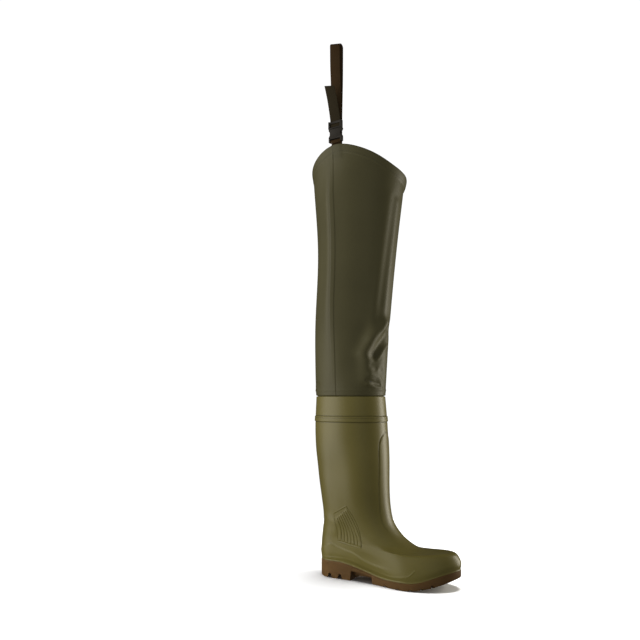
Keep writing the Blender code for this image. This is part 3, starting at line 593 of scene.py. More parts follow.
# %% [markdown]
# ## Geometry Nodes in a script
# A tree needs its sockets declared, its inputs set on the modifier and its result made a plain mesh. A few
# helpers do that for every tree here. The inputs are set by their identifiers before the object is first
# evaluated, and the modifier goes once its result is kept.

# %% Tree helpers
FLOAT = "NodeSocketFloat"


def new_tree(name, **sockets):
    """Empty Geometry Nodes tree with named inputs, its maker and the wires from its inputs."""
    tree = bpy.data.node_groups.new(name, "GeometryNodeTree")
    tree.interface.new_socket("Geometry", in_out="INPUT", socket_type="NodeSocketGeometry")
    for label, kind in {**sockets, "Material": "NodeSocketMaterial"}.items():
        tree.interface.new_socket(label, in_out="INPUT", socket_type=kind)
    tree.interface.new_socket("Geometry", in_out="OUTPUT", socket_type="NodeSocketGeometry")
    maker = Maker(tree)
    source = tree.nodes.new("NodeGroupInput")
    return maker, {socket.name: Wire(maker, socket) for socket in source.outputs if socket.name}


def close_tree(maker, geometry, material):
    """Every tree ends with real geometry in one material."""
    real = maker.node("GeometryNodeRealizeInstances", None, {"Geometry": geometry})
    dressed = maker.node("GeometryNodeSetMaterial", None, {"Geometry": real, "Material": material})
    maker.node("NodeGroupOutput", None, {0: dressed})


def keep_result(piece):
    """Make the result of a piece's modifiers its own mesh."""
    bpy.context.view_layer.update()
    ready = piece.evaluated_get(bpy.context.evaluated_depsgraph_get())
    made = bpy.data.meshes.new_from_object(ready)
    piece.modifiers.clear()
    piece.data = made
    made.name = piece.name


def run_tree(piece, tree, material, **values):
    """Replace a piece's mesh by what a tree makes of it."""
    modifier = piece.modifiers.new(tree.name, "NODES")
    modifier.node_group = tree
    for item in tree.interface.items_tree:
        if item.in_out == "INPUT" and item.name in values:
            modifier[item.identifier] = values[item.name]
        elif item.name == "Material":
            modifier[item.identifier] = material
    keep_result(piece)


print("node trees so far:", len(bpy.data.node_groups))


# %% [markdown]
# ## Ankle panels
# Over each ankle the mould has a small framed panel with seven ribs. The boot's own grid runs round the leg
# and would cut the slanted ribs into steps, so each panel is a thin plate of its own with a finer grid that
# runs with the ribs, on the same swollen and flattened wall. Geometry Nodes lift the plate's face: a bead
# near the border, a wave of ribs inside it, and a border that sinks into the wall so that the panel looks
# moulded in one with the boot.

# %% Tree of the ribbed panel
def panel_tree():
    """Lift the face of a plate into a frame and ribs."""
    maker, given = new_tree("ribbed_panel", Rib=FLOAT, Frame=FLOAT, Inset=FLOAT)

    def read(name):
        return maker.node("GeometryNodeInputNamedAttribute", {"data_type": "FLOAT"}, {"Name": name})

    edge = read("edge")
    inside = read("ribs")
    border = edge.step(0.0, 0.0016)
    bead = 1.0 - (edge - given["Inset"]).size().step(0.0002, 0.0013)
    wave = 0.5 + 0.5 * (read("across") * (2.0 * math.pi) - 0.5 * math.pi).sine()
    valley = (1.0 - wave) ** 3.0
    height = given["Rib"] * (1.0 - valley) * inside + given["Frame"] * bead + 0.0002
    height = (height * border - 0.0005 * (1.0 - border)) * read("face")
    normal = maker.node("GeometryNodeInputNormal")
    offset = maker.node("ShaderNodeVectorMath", {"operation": "SCALE"}, {"Vector": normal, "Scale": height})
    lifted = maker.node("GeometryNodeSetPosition", None, {"Geometry": given["Geometry"], "Offset": offset})
    # Painted shade: the rib valleys and a thin line along the plate's border are darkened in colour.
    dark = valley * inside * 0.15 + (1.0 - edge.step(0.0004, 0.0012)) * 0.4
    stored = {"Geometry": lifted, "Name": "painted_shade", "Value": dark}
    kept = maker.node("GeometryNodeStoreNamedAttribute", {"data_type": "FLOAT", "domain": "POINT"}, stored)
    close_tree(maker, kept, given["Material"])
    return maker.tree


PANEL_TREE = panel_tree()
print("tree", PANEL_TREE.name, "has", len(PANEL_TREE.nodes), "nodes")

# %% Sizes and ribs of the panel
RIB_COUNT = 7
RIB_BOW = 4.5
RIB_TOP_X, RIB_TOP_Z = (-14.0, 25.0), (123.0, 20.0)
RIB_FOOT_X, RIB_FOOT_Z = (-9.0, 50.5), (79.5, -6.5)
PANEL_LEFT = {"x": -25.0, "run": 9.0, "bow": 2.0, "z": 134.0, "length": 59.5}
PANEL_RIGHT = {"x": 10.5, "run": 34.0, "bow": 10.0, "z": 154.0, "length": 87.0}
PANEL_GRID = (120, 150)
PANEL_BACK = 1.3


def bowed(share):
    """Bow of height 1 between its two ends."""
    return 4.0 * share * (1.0 - share)


def rib_fan(x, z):
    """Share from the first rib to the last, and from a rib's top to its foot, at places on the panel."""
    low, high = np.full(x.shape, -0.6), np.full(x.shape, 1.6)
    for _ in range(30):
        fan = (low + high) / 2.0
        top_x, top_z, foot_x, foot_z = (
            first + reach * fan for first, reach in (RIB_TOP_X, RIB_TOP_Z, RIB_FOOT_X, RIB_FOOT_Z))
        down = (top_z - z) / (top_z - foot_z)
        rib_x = top_x + (foot_x - top_x) * down + RIB_BOW * bowed(down)
        low = np.where(rib_x < x, fan, low)
        high = np.where(rib_x < x, high, fan)
    return fan, down


def panel_edge(edge, down):
    """Places along a long edge of the panel, from its top to its foot."""
    return edge["x"] + edge["run"] * down + edge["bow"] * bowed(down), edge["z"] - edge["length"] * down


def plate_faces(rows, columns):
    """Quads of a plate: its front grid, its back grid and the walls between their rims."""
    number = np.arange(rows * columns).reshape(rows, columns)
    corners = (number[:-1, :-1], number[:-1, 1:], number[1:, 1:], number[1:, :-1])
    front = np.stack(corners, -1).reshape(-1, 4)
    rim = np.concatenate((number[0], number[1:, -1], number[-1, -2::-1], number[-2:0:-1, 0]))
    after = np.roll(rim, -1)
    back = rows * columns
    walls = np.stack((rim, rim + back, after + back, after), -1)
    return np.concatenate((front, front[:, ::-1] + back, walls))


print("panel plate:", len(plate_faces(*PANEL_GRID)), "faces and", RIB_COUNT, "ribs")

# %% Two ankle panels
def ankle_panel(name, side):
    """Plate over one ankle with a frame and a fan of ribs."""
    down, across = np.meshgrid(*(np.linspace(0.0, 1.0, count) for count in PANEL_GRID), indexing="ij")
    left_x, left_z = panel_edge(PANEL_LEFT, down)
    right_x, right_z = panel_edge(PANEL_RIGHT, down)
    x = left_x + (right_x - left_x) * across
    z = left_z + (right_z - left_z) * across
    level, angle = side_place(x, z, side)
    out = boot_outward(level, angle)
    wall = boot_point(level, angle) + out * side_swell(level, np.degrees(angle), x, z)[..., None]
    points = np.concatenate((wall.reshape(-1, 3), (wall - out * PANEL_BACK).reshape(-1, 3)))
    plate = new_piece(name, points, plate_faces(*PANEL_GRID))
    shape = bmesh.new()
    shape.from_mesh(plate.data)
    bmesh.ops.recalc_face_normals(shape, faces=shape.faces)
    shape.to_mesh(plate.data)
    shape.free()
    width = (right_x - left_x) * np.minimum(across, 1.0 - across)
    longer = PANEL_RIGHT["length"] - PANEL_LEFT["length"]
    length = (PANEL_LEFT["length"] + longer * across) * np.minimum(down, 1.0 - down)
    edge = np.minimum(width, length) * MM
    fan, along = rib_fan(x, z)
    phase = np.clip(fan * (RIB_COUNT - 1.0) + 0.5, 0.0, RIB_COUNT)
    ribs = plateau(-0.04, 0.03, 0.97, 1.04, along) * plateau(-0.10, -0.06, 1.06, 1.10, fan)
    for label, values in (("edge", edge), ("across", phase), ("ribs", ribs)):
        give_attribute(plate, label, np.tile(values.ravel(), 2))
    give_attribute(plate, "face", np.repeat((1.0, 0.0), edge.size))
    run_tree(plate, PANEL_TREE, OLIVE, Rib=0.0009, Frame=0.0006, Inset=0.0020)
    wear(plate, None)


ankle_panel("ankle_panel_outer", 1.0)
ankle_panel("ankle_panel_inner", -1.0)

# %% [markdown]
# ## Coated cloth
# The leg is a strong woven cloth with a dull coating. Close up the weave shows through as a fine grid; from a
# step away it only softens the highlight. The weave follows the piece's own map of width and height, and the
# tone drifts slowly because a coating is never even. The inner side is bare cloth and a little lighter.

# %% Coated cloth
def weave(finish, pitch):
    """Grid of threads on a piece's own map, from 0 to 1."""
    place = finish.node("ShaderNodeUVMap", {"uv_map": "cloth"})
    split = {"Vector": place}
    across = finish.node("ShaderNodeSeparateXYZ", None, split, "X")
    along = finish.node("ShaderNodeSeparateXYZ", None, split, "Y")
    turns = 2.0 * math.pi / pitch
    return 0.5 + 0.25 * ((across * turns).sine() + (along * turns).sine())


def cloth_finish(name, dark, light, roughness, depth):
    """Dull coated cloth, or the bare cloth of its inner side."""
    finish = Finish(name, roughness, Specular_IOR_Level=0.18)
    drift = finish.noise(7.0, 3.0)
    threads = weave(finish, 0.0011)
    colour = finish.mix(drift.step(0.3, 0.7), dark, light)
    # Painted shade: the colour is darkened beside the seam strip and over the patch under the strap.
    colour = finish.mix(finish.attribute("painted_shade"), colour, (0.011, 0.010, 0.006))
    finish.feed("Base Color", colour)
    finish.feed("Roughness", roughness - 0.05 + 0.10 * drift)
    finish.feed("Normal", finish.bump(threads, depth, 0.6))
    return finish.material


CLOTH = cloth_finish("coated_cloth", (0.0505, 0.0455, 0.0198), (0.0572, 0.0516, 0.0225), 0.50, 0.00004)
CLOTH_BACK = cloth_finish("cloth_inner_side", (0.050, 0.047, 0.036), (0.058, 0.054, 0.042), 0.85, 0.00012)
print("made", CLOTH.name, "and", CLOTH_BACK.name)

# %% [markdown]
# ## The shape of the leg
# The cloth leg is a welded tube: level oval sections that widen to the thigh, with a rim that stands high on
# the outer side, where the belt strap is sewn on, and dips at its inner front corner. Cloth simulation could
# fold it, but the folds of the photo are few and each has its place, so they are put in one by one as soft
# ridges and troughs on the tube.

# %% Sections of the leg
LEG_ROWS = np.array((
    (379.2, 79.4, 60.9, -3.0),
    (400.0, 80.2, 61.5, -3.0),
    (521.0, 85.5, 64.0, 1.2),
    (695.0, 90.5, 72.0, 14.8),
    (865.0, 106.5, 86.0, 21.0),
    (930.0, 110.5, 90.5, 22.3),
))
LEG_WALL = 1.0
LEG_TUCK = 40.0
GAP = 0.3
RIM_Z = 858.7
RIM_LEAN = 4.8
RIM_OUTER_RISE = 49.0
RIM_INNER_RISE = -12.0
RIM_POWER = 1.65
RIM_WAVES = (
    # angle, rise, width
    (92.0, 4.0, 20.0),
    (8.0, 2.0, 14.0),
    (-36.0, -9.0, 26.0),
)


def leg_section(z):
    """Half depth, half width and centre of the leg at a height, on a smooth curve."""
    last = len(LEG_ROWS) - 1
    low = np.clip(np.searchsorted(LEG_ROWS[:, 0], z) - 1, 0, last - 1)
    near, far = LEG_ROWS[low], LEG_ROWS[low + 1]
    before, after = LEG_ROWS[np.maximum(low - 1, 0)], LEG_ROWS[np.minimum(low + 2, last)]
    span = far[..., :1] - near[..., :1]
    share = (np.asarray(z)[..., None] - near[..., :1]) / span
    start = (far - before)[..., 1:] / (far - before)[..., :1] * span
    end = (after - near)[..., 1:] / (after - near)[..., :1] * span
    a, b = near[..., 1:], far[..., 1:]
    cubic = 2.0 * a - 2.0 * b + start + end
    square = 3.0 * b - 3.0 * a - 2.0 * start - end
    return np.moveaxis(a + start * share + square * share ** 2 + cubic * share ** 3, -1, 0)


def leg_point(z, angle):
    """Points of the plain leg."""
    half_depth, half_width, centre = leg_section(z)
    return np.stack((centre + half_depth * np.cos(angle), -half_width * np.sin(angle), z), axis=-1)


def leg_outward(z, angle):
    """Level direction out of the leg."""
    half_depth, half_width, _ = leg_section(z)
    flat = np.zeros(z.shape)
    return unit(np.stack((half_width * np.cos(angle), -half_depth * np.sin(angle), flat), axis=-1))


def rim_height(angle):
    """Height of the top edge: high on the outer side, lower at the front and inside."""
    side = np.sin(angle)
    rise = np.where(side > 0.0, RIM_OUTER_RISE, RIM_INNER_RISE) * np.abs(side) ** RIM_POWER
    turn = np.degrees(angle)
    wave = sum(height * bell(turn - place, width) for place, height, width in RIM_WAVES)
    return RIM_Z - RIM_LEAN * np.cos(angle) + rise + wave


print("rim, mm:", np.round(rim_height(np.radians((0.0, 90.0, 180.0, -90.0))), 1), "front, outer, back, inner")

# %% [markdown]
# ## Folds of the leg
# Each fold is a line on the tube, given by angle and height in the order it runs, with how far it stands out
# or in and how wide it is. The first group is the crumple above the cuff at the front of the shin, the second
# the flat outer side and the long soft waves that the cloth takes where it hangs from the strap. A pressed
# crease runs behind the welded side seam and gets rounder towards the cuff.

# %% Fold table
FOLDS = (
    # name, out, width, line of (angle, height)
    ("upper_ridge", 8.0, 14.0, ((10.0, 529.0), (25.0, 511.0), (37.0, 494.0), (44.0, 479.0), (48.0, 468.0))),
    ("facet", -7.5, 12.5, ((-11.0, 522.0), (5.0, 504.0), (17.0, 487.0), (24.0, 473.0), (28.0, 465.0))),
    ("second_ridge", 2.2, 5.0, ((-4.0, 484.0), (8.0, 475.0), (22.0, 456.0))),
    ("hollow_beside", -1.5, 14.0, ((50.0, 520.0), (54.0, 490.0), (52.0, 462.0))),
    ("lower_ridge", 6.0, 15.0, ((43.0, 448.0), (42.0, 430.0), (40.0, 414.0))),
    ("upper_hollow", -1.8, 7.0, ((34.0, 441.0), (27.0, 436.0))),
    ("front_hollow", -1.8, 6.5, ((12.0, 431.0), (7.0, 425.0))),
    ("between", 2.0, 6.0, ((36.0, 424.0), (22.0, 418.0), (14.0, 412.0))),
    ("low_fold", -2.0, 4.0, ((41.0, 411.0), (28.0, 405.0), (14.5, 402.0))),
    ("low_ridge", 1.6, 4.5, ((40.0, 402.0), (26.0, 396.0), (10.0, 394.0))),
    ("heel_dent", -2.2, 6.0, ((148.0, 406.0), (134.0, 403.0))),
    ("outer_flat", -5.0, 30.0, ((60.0, 840.0), (58.0, 650.0), (56.0, 450.0))),
    ("long_wave_front", 1.6, 9.0, ((6.0, 790.0), (10.0, 660.0), (14.0, 560.0), (16.0, 520.0))),
    ("long_wave_mid", 1.4, 9.0, ((22.0, 800.0), (27.0, 690.0), (33.0, 570.0), (38.0, 500.0))),
    ("long_trough", -1.2, 10.0, ((15.0, 800.0), (19.0, 690.0), (24.0, 570.0))),
)
FOLD_MM_PER_DEGREE = 1.15
print("folds of the leg:", ", ".join(fold[0] for fold in FOLDS))

# %% Relief of the leg
SEAM_LINE = ((337.0, 94.5), (432.0, 95.5), (580.0, 99.3), (795.0, 101.5), (920.0, 101.8))
SEAM_HALF = 4.5
SEAM_STEP = 0.6
CREASE_RISE = 9.0
CREASE_WIDTH = 16.0
CREASE_BACK = 9.0
CREASE_ROUND = 8.0
CREASE_FOOT_ROUND = 8.0
HEM_DEPTH = 18.0
HEM_STEP = 0.5
RIM_FLARE = 2.0
RIM_ZONE = 22.0
FRONT_LIP = 2.5
STRAP_PATCH = (1.0, 26.0, 880.0)
PATCH_STEP = 0.6
CUFF_BULGE_Z = 390.0


def seam_relief(z, turn, below):
    """Height of the welded strip and of the crease behind it, and the painted shade line beside the strip."""
    half_depth, _, _ = leg_section(z)
    off_seam = np.radians(turn - follow(SEAM_LINE, z)) * half_depth
    strip = SEAM_STEP * fall(SEAM_HALF - 0.4, SEAM_HALF + 0.4, np.abs(off_seam))
    strip_edge_shade = bell(np.abs(off_seam) - SEAM_HALF - 0.5, 0.7)
    crest = CREASE_ROUND + CREASE_FOOT_ROUND * fall(450.0, 650.0, z)
    crease = CREASE_RISE * np.exp((crest - np.hypot(off_seam - CREASE_BACK, crest)) / CREASE_WIDTH)
    grow = 0.3 * smooth(384.0, 430.0, z) + 0.7 * smooth(430.0, 600.0, z)
    return strip, crease * grow * smooth(10.0, 120.0, below), strip_edge_shade


def leg_relief(z, angle, below):
    """Height over the plain leg in millimetres, and the painted shade beside its seam and on the strap patch
    from 0 to 1.
    """
    turn = np.degrees(angle)
    height = np.zeros(z.shape)
    for _, out, width, line in FOLDS:
        line_mm = [(place * FOLD_MM_PER_DEGREE, rise) for place, rise in line]
        height = height + out * bell(line_distance(turn * FOLD_MM_PER_DEGREE, z, line_mm), width)
    strip, crease, strip_edge_shade = seam_relief(z, turn, below)
    hem = HEM_STEP * fall(HEM_DEPTH - 1.0, HEM_DEPTH + 1.5, below)
    x = leg_point(z, angle)[..., 0]
    left, right, foot = STRAP_PATCH
    patch = plateau(left - 1.0, left + 1.0, right - 1.0, right + 1.0, x)
    patch = PATCH_STEP * patch * smooth(foot - 1.0, foot + 1.0, z) * (np.sin(angle) > 0.0)
    bulge = 0.7 * bell(z - CUFF_BULGE_Z, 2.2) - 0.4 * fall(380.0, 387.0, z)
    flare = RIM_FLARE * fall(0.0, RIM_ZONE, below)
    inner_front = fall(-30.0, 20.0, turn) * smooth(-130.0, -90.0, turn)
    flare = flare + FRONT_LIP * fall(10.0, RIM_ZONE, below) * inner_front
    height = height + np.maximum(strip, hem) + crease + patch + bulge + flare
    # Painted shade beside the seam strip and over the patch that the strap covers.
    painted_shade = 0.22 * strip_edge_shade + 0.20 * patch
    return height, np.clip(painted_shade, 0.0, 1.0)


print("the crease stands up to", CREASE_RISE, "mm out, the hem is", HEM_DEPTH, "mm deep")

# %% [markdown]
# ## The cloth leg
# The lower rings are tucked into the cuff, the next follow the folds, and the last few draw the hem and the
# rounded rim. Columns bend with the side seam so that its strip keeps straight edges. The weave follows a map
# with the size that the cloth had when it was cut.

# %% Rings of the leg
SEAM_TURN = 100.0
MEAN_RADIUS = 85.0
OUTER_BELOW = (RIM_ZONE, 20.8, 20.0, 19.4, 18.9, 18.5, 18.1, 17.7, 17.0, 15.0, 12.0, 8.0, 4.0, 1.5, 0.6, 0.2)
INNER_BELOW = (18.0, 13.0, 9.0, 5.0, 2.0, 0.4)
RIM_ROUND = 0.25
RIM_TOP = -0.15


def leg_turn_step(turn):
    """Finer columns at the seam and across the front folds."""
    if 90.0 < turn < 110.0:
        return 0.5
    return 1.15 if -15.0 < turn < 62.0 else 1.7


def tuck_ring(z, rise, inset):
    """Ring of the leg inside the cuff."""
    level = np.array([[cuff_level(z)]])
    ring = boot_point(level, leg_angles[:1]) - boot_outward(level, leg_angles[:1]) * (BOOT_WALL + GAP + inset)
    return ring + [0.0, 0.0, rise]


def leg_rings(share, below, inset):
    """Rings from the cuff up to the hem by share, then rings below the rim by distance."""
    foot = LEG_ROWS[0, 0]
    rim = rim_height(leg_angles)
    low = foot + np.asarray(share)[:, None] * (rim - RIM_ZONE - foot)
    high = rim - np.asarray(below)[:, None]
    z = np.concatenate((low, high))
    angle = np.broadcast_to(leg_angles, z.shape)
    seam = follow(SEAM_LINE, z) - SEAM_TURN
    angle = angle + np.radians(seam) * bell(np.degrees(angle) - SEAM_TURN, 30.0)
    height, painted_shade = leg_relief(z, angle, rim - z)
    points = leg_point(z, angle) + leg_outward(z, angle) * (height - inset)[..., None]
    return points, painted_shade


leg_turns = walk(-180.0, 180.0, leg_turn_step)
leg_angles = np.radians(leg_turns)[None, :]
print("the leg has", len(leg_turns), "columns")

# %% Mesh of the leg
fine = walk(0.0, 0.36, lambda place: 0.0034)
coarse = walk(0.36, 0.999, lambda place: 0.0085)
outer, outer_painted_shade = leg_rings(np.append(fine, coarse), OUTER_BELOW, 0.0)
inner, _ = leg_rings(np.linspace(0.006, 0.999, 64), INNER_BELOW, LEG_WALL)
rim_top, _ = leg_rings((), (RIM_TOP,), RIM_ROUND)
rim_in, _ = leg_rings((), (RIM_TOP,), LEG_WALL - RIM_ROUND)
tuck_out = [tuck_ring(COLLAR_Z - LEG_TUCK, 0.0, 0.0), tuck_ring(COLLAR_Z, 0.5, 0.0)]
tuck_in = [tuck_ring(COLLAR_Z, 1.4, LEG_WALL), tuck_ring(COLLAR_Z - LEG_TUCK, 0.0, LEG_WALL)]
rings = np.concatenate(tuck_out + [outer, rim_top, rim_in, inner[::-1]] + tuck_in)
leg_faces = loop_faces(len(rings), len(leg_turns))
leg = new_piece("cloth_leg", rings.reshape(-1, 3), leg_faces, CLOTH, CLOTH_BACK)
painted_shade = np.zeros(rings.shape[:2])
painted_shade[2:2 + len(outer)] = outer_painted_shade
give_attribute(leg, "painted_shade", painted_shade)
inside_faces = np.repeat(np.arange(len(rings)) >= len(outer) + 3, len(leg_turns))
leg.data.polygons.foreach_set("material_index", inside_faces.astype(np.int32))
print(leg.name, "has", inside_faces.sum(), "faces on its inner side")

# %% Map of the weave
def give_cloth_map(piece, across, along):
    """Map of width and height for the weave, one place for each corner of each quad of a closed tube."""
    across = np.stack((across[:, :-1], across[:, :-1], across[:, 1:], across[:, 1:]), -1)
    along = np.stack((along[:-1], along[1:], along[1:], along[:-1]), -1)
    along = np.broadcast_to(along[:, None, :], across.shape)
    layer = piece.data.uv_layers.new(name="cloth")
    layer.data.foreach_set("uv", np.stack((across, along), -1).astype(np.float32).ravel())


turn_ends = np.radians(np.append(leg_turns, 180.0)) * MEAN_RADIUS * MM
ring_height_mean = np.append(rings[..., 2].mean(1), rings[0, :, 2].mean()) * MM
give_cloth_map(leg, np.broadcast_to(turn_ends, (len(rings), len(turn_ends))), ring_height_mean)
wear(leg, "wader_leg")

# %% [markdown]
# ## Stitches of the hem
# A row of stitches holds the hem. Modelling each one by hand would take an afternoon, and a bump in the
# material would not stand out from the cloth. Geometry Nodes walk along the line, put one short thread on
# each step and turn it along the line.

# %% Stitch tree
def stitch_tree():
    """Short threads in a row along a line."""
    maker, given = new_tree("stitches", Pitch=FLOAT, Length=FLOAT, Thread=FLOAT)
    path = maker.node("GeometryNodeMeshToCurve", None, {"Mesh": given["Geometry"]})
    pitch = {"Curve": path, "Length": given["Pitch"]}
    spaced = maker.node("GeometryNodeResampleCurve", {"mode": "LENGTH"}, pitch)
    along = maker.node("GeometryNodeInputTangent")
    turn = maker.node("FunctionNodeAlignRotationToVector", {"axis": "X"}, {"Vector": along})
    thread = maker.node("GeometryNodeMeshUVSphere", None, {"Segments": 6, "Rings": 5, "Radius": 1.0})
    half = {"X": given["Length"] * 0.5, "Y": given["Thread"], "Z": given["Thread"]}
    size = maker.node("ShaderNodeCombineXYZ", None, half)
    place = {"Points": spaced, "Instance": thread, "Rotation": turn, "Scale": size}
    many = maker.node("GeometryNodeInstanceOnPoints", None, place)
    close_tree(maker, many, given["Material"])
    return maker.tree


def thread_finish():
    """Dark twisted thread."""
    finish = Finish("dark_thread", 0.7)
    fibre = finish.noise(2500.0, 2.0)
    finish.feed("Base Color", finish.mix(fibre, (0.012, 0.011, 0.007), (0.030, 0.027, 0.017)))
    finish.feed("Normal", finish.bump(fibre, 0.0001, 0.5))
    return finish.material


STITCH_TREE = stitch_tree()
THREAD = thread_finish()
print("tree", STITCH_TREE.name, "has", len(STITCH_TREE.nodes), "nodes")

# %% Row of stitches
STITCH_BELOW = 15.0
STITCH_PITCH = 4.6
STITCH_LENGTH = 3.2
THREAD_RADIUS = 0.32
hem_angles = np.radians(np.linspace(-180.0, 180.0, 361)[:-1])
hem_z = rim_height(hem_angles) - STITCH_BELOW
hem_height, _ = leg_relief(hem_z, hem_angles, np.full(hem_z.shape, STITCH_BELOW))
hem_line = leg_point(hem_z, hem_angles) + leg_outward(hem_z, hem_angles) * (hem_height + 0.1)[:, None]
hem_stitches = new_line("hem_stitches", hem_line, closed=True)
run_tree(hem_stitches, STITCH_TREE, THREAD,
         Pitch=STITCH_PITCH * MM, Length=STITCH_LENGTH * MM, Thread=THREAD_RADIUS * MM)
shade_smooth(hem_stitches)
wear(hem_stitches, None)

# %% [markdown]
# ## Brown outsole
# The outsole is a harder brown polyurethane, dull on its walls and a little scuffed where it meets the floor.
# Flecks and a slow drift of tone keep it from looking like plain plastic.

# %% Outsole finish
def sole_finish():
    """Dull brown polyurethane with worn lugs."""
    finish = Finish("brown_outsole", 0.6, Specular_IOR_Level=0.12)
    drift = finish.noise(18.0, 4.0)
    fleck = finish.noise(420.0, 3.0)
    height = finish.node("ShaderNodeSeparateXYZ", None, {"Vector": finish.place()}, "Z")
    worn = (1.0 - height.step(0.0005, 0.006)) * fleck.step(0.42, 0.62)
    colour = finish.mix(drift.step(0.3, 0.7), (0.066, 0.0355, 0.0125), (0.086, 0.0465, 0.0165))
    colour = finish.mix(fleck.step(0.55, 0.75) * 0.25, colour, (0.105, 0.061, 0.027))
    colour = finish.mix(worn * 0.30, colour, (0.110, 0.072, 0.042))
    finish.feed("Base Color", colour)
    finish.feed("Roughness", 0.52 + 0.16 * drift + 0.10 * worn)
    finish.feed("Normal", finish.bump(fleck, 0.00015, 0.5))
    return finish.material


BROWN = sole_finish()
print("made", BROWN.name)

# %% [markdown]
# ## The outsole
# The sole's wall follows the feather line of the boot. Below it the heel, the raised waist and the toe spring
# come from one height along the foot. The grooves are cut with Boolean tools, which is how a mould is cut
# too, and a Bevel softens every edge so that it catches the light. The heel's two grooves get wider down to
# the tread, and those of the forepart get shallower towards the rim.

# %% Heights of the outsole
HEEL_BREAST_X = 13.0
FOREPART_X = 65.0
STEP_SLOPE = 2.5
WAIST_HEEL_Z = 19.0
WAIST_FORE_Z = 13.0
SPRING_X = 136.0
SPRING_RUN = 100.0
SPRING_RISE = 26.0
SPRING_POWER = 1.8
FEATHER_FRONT_X, FEATHER_BACK_X = BOOT_ROWS[0, 0], BOOT_ROWS[0, 2]


def sole_top(x):
    """Height of the feather line along the foot."""
    share = np.clip((FEATHER_FRONT_X - x) / (FEATHER_FRONT_X - FEATHER_BACK_X), 0.0, 1.0)
    return ring_height(boot_row(np.zeros(np.shape(x))), share)


def spring_height(x):
    """Height of the tread over the floor along the toe spring."""
    return SPRING_RISE * (np.maximum(0.0, x - SPRING_X) / SPRING_RUN) ** SPRING_POWER


def waist_height(x):
    """Height of the underside between heel and forepart; it falls to the front."""
    share = (x - HEEL_BREAST_X) / (FOREPART_X - HEEL_BREAST_X)
    return WAIST_HEEL_Z + (WAIST_FORE_Z - WAIST_HEEL_Z) * share


def sole_bottom(x):
    """Height of the underside with heel, raised waist and toe spring."""
    enter = np.clip((x - HEEL_BREAST_X) / STEP_SLOPE, 0.0, 1.0)
    leave = np.clip((x - FOREPART_X + STEP_SLOPE) / STEP_SLOPE, 0.0, 1.0)
    return waist_height(x) * (enter - leave) + spring_height(x)


print("toe spring, mm:", round(float(spring_height(FEATHER_FRONT_X)), 1))

# %% Body of the outsole
SOLE_OUTSET = 0.9
SOLE_CHAMFER = 1.4
SOLE_RINGS = (
    # outset, share of the height, rise
    (SOLE_OUTSET - 0.5, 0.0, -GAP),
    (SOLE_OUTSET + 0.2, 0.03, -GAP),
    (SOLE_OUTSET + 0.4, 0.10, 0.0),
    (SOLE_OUTSET + 0.4, 0.20, 0.0),
    (SOLE_OUTSET + 0.2, 0.60, 0.0),
    (SOLE_OUTSET, 1.0, SOLE_CHAMFER),
    (SOLE_OUTSET - 0.4, 1.0, 0.4),
    (SOLE_OUTSET - SOLE_CHAMFER, 1.0, 0.0),
)


def turn_at(x):
    """Angle of the feather ring at a place along the foot."""
    return math.acos(1.0 - 2.0 * (FEATHER_FRONT_X - x) / (FEATHER_FRONT_X - FEATHER_BACK_X))


def sole_body():
    """Closed body of the outsole before its grooves are cut."""
    shares = (0.0, 0.3, 0.7, 1.0)
    steps = [turn_at(HEEL_BREAST_X + STEP_SLOPE * share) for share in shares]
    steps += [turn_at(FOREPART_X - STEP_SLOPE * share) for share in shares]
    even = np.linspace(0.0, math.pi, 91)
    clear = [turn for turn in even if min(abs(turn - step) for step in steps) > 0.006]
    turns = np.array(sorted(clear + steps))
    shape = bmesh.new()
    halves = []
    for side in (1.0, -1.0):
        level = np.zeros(turns.shape)
        feather = boot_point(level, side * turns)
        out = boot_outward(level, side * turns)
        rings = []
        for outset, share, rise in SOLE_RINGS:
            ring = feather + out * outset
            ring[[0, -1], 1] = boot_point(level, turns)[[0, -1], 1]
            top = sole_top(ring[:, 0])
            ring[:, 2] = top + (sole_bottom(ring[:, 0]) - top) * share + rise
            rings.append([shape.verts.new(point) for point in to_metres(ring)])
        halves.append(rings)
        for low, high in zip(rings, rings[1:]):
            for k in range(len(low) - 1):
                shape.faces.new((low[k], low[k + 1], high[k + 1], high[k]))
    for edge in (0, -1):
        one, other = halves[0][edge], halves[1][edge]
        for k in range(len(one) - 1):
            shape.faces.new((one[k], one[k + 1], other[k + 1], other[k]))
    bmesh.ops.remove_doubles(shape, verts=shape.verts, dist=0.00002)
    bmesh.ops.dissolve_degenerate(shape, dist=0.00001, edges=shape.edges)
    bmesh.ops.triangulate(shape, faces=shape.faces)
    return shape


print("the sole's wall has", len(SOLE_RINGS), "rings")

# %% Bars and blocks
def bmesh_object(name, shape):
    """Object from a closed bmesh with its faces turned out."""
    bmesh.ops.recalc_face_normals(shape, faces=shape.faces)
    mesh = bpy.data.meshes.new(name)
    shape.to_mesh(mesh)
    shape.free()
    return new_object(name, mesh)


def add_bar(shape, stations):
    """Closed bar through four-cornered stations in millimetres."""
    rows = [[shape.verts.new(corner) for corner in to_metres(station)] for station in stations]
    for low, high in zip(rows, rows[1:]):
        for k in range(4):
            shape.faces.new((low[k], low[(k + 1) % 4], high[(k + 1) % 4], high[k]))
    shape.faces.new(rows[0])
    shape.faces.new(rows[-1][::-1])


def add_block(shape, low, high):
    """Upright block between two corners in millimetres."""
    low, high = to_metres(low), to_metres(high)
    scale = Matrix.Diagonal((*(high - low), 1.0))
    bmesh.ops.create_cube(shape, size=1.0, matrix=Matrix.Translation((high + low) / 2.0) @ scale)


print("helpers for solids:", add_bar.__name__, "and", add_block.__name__)

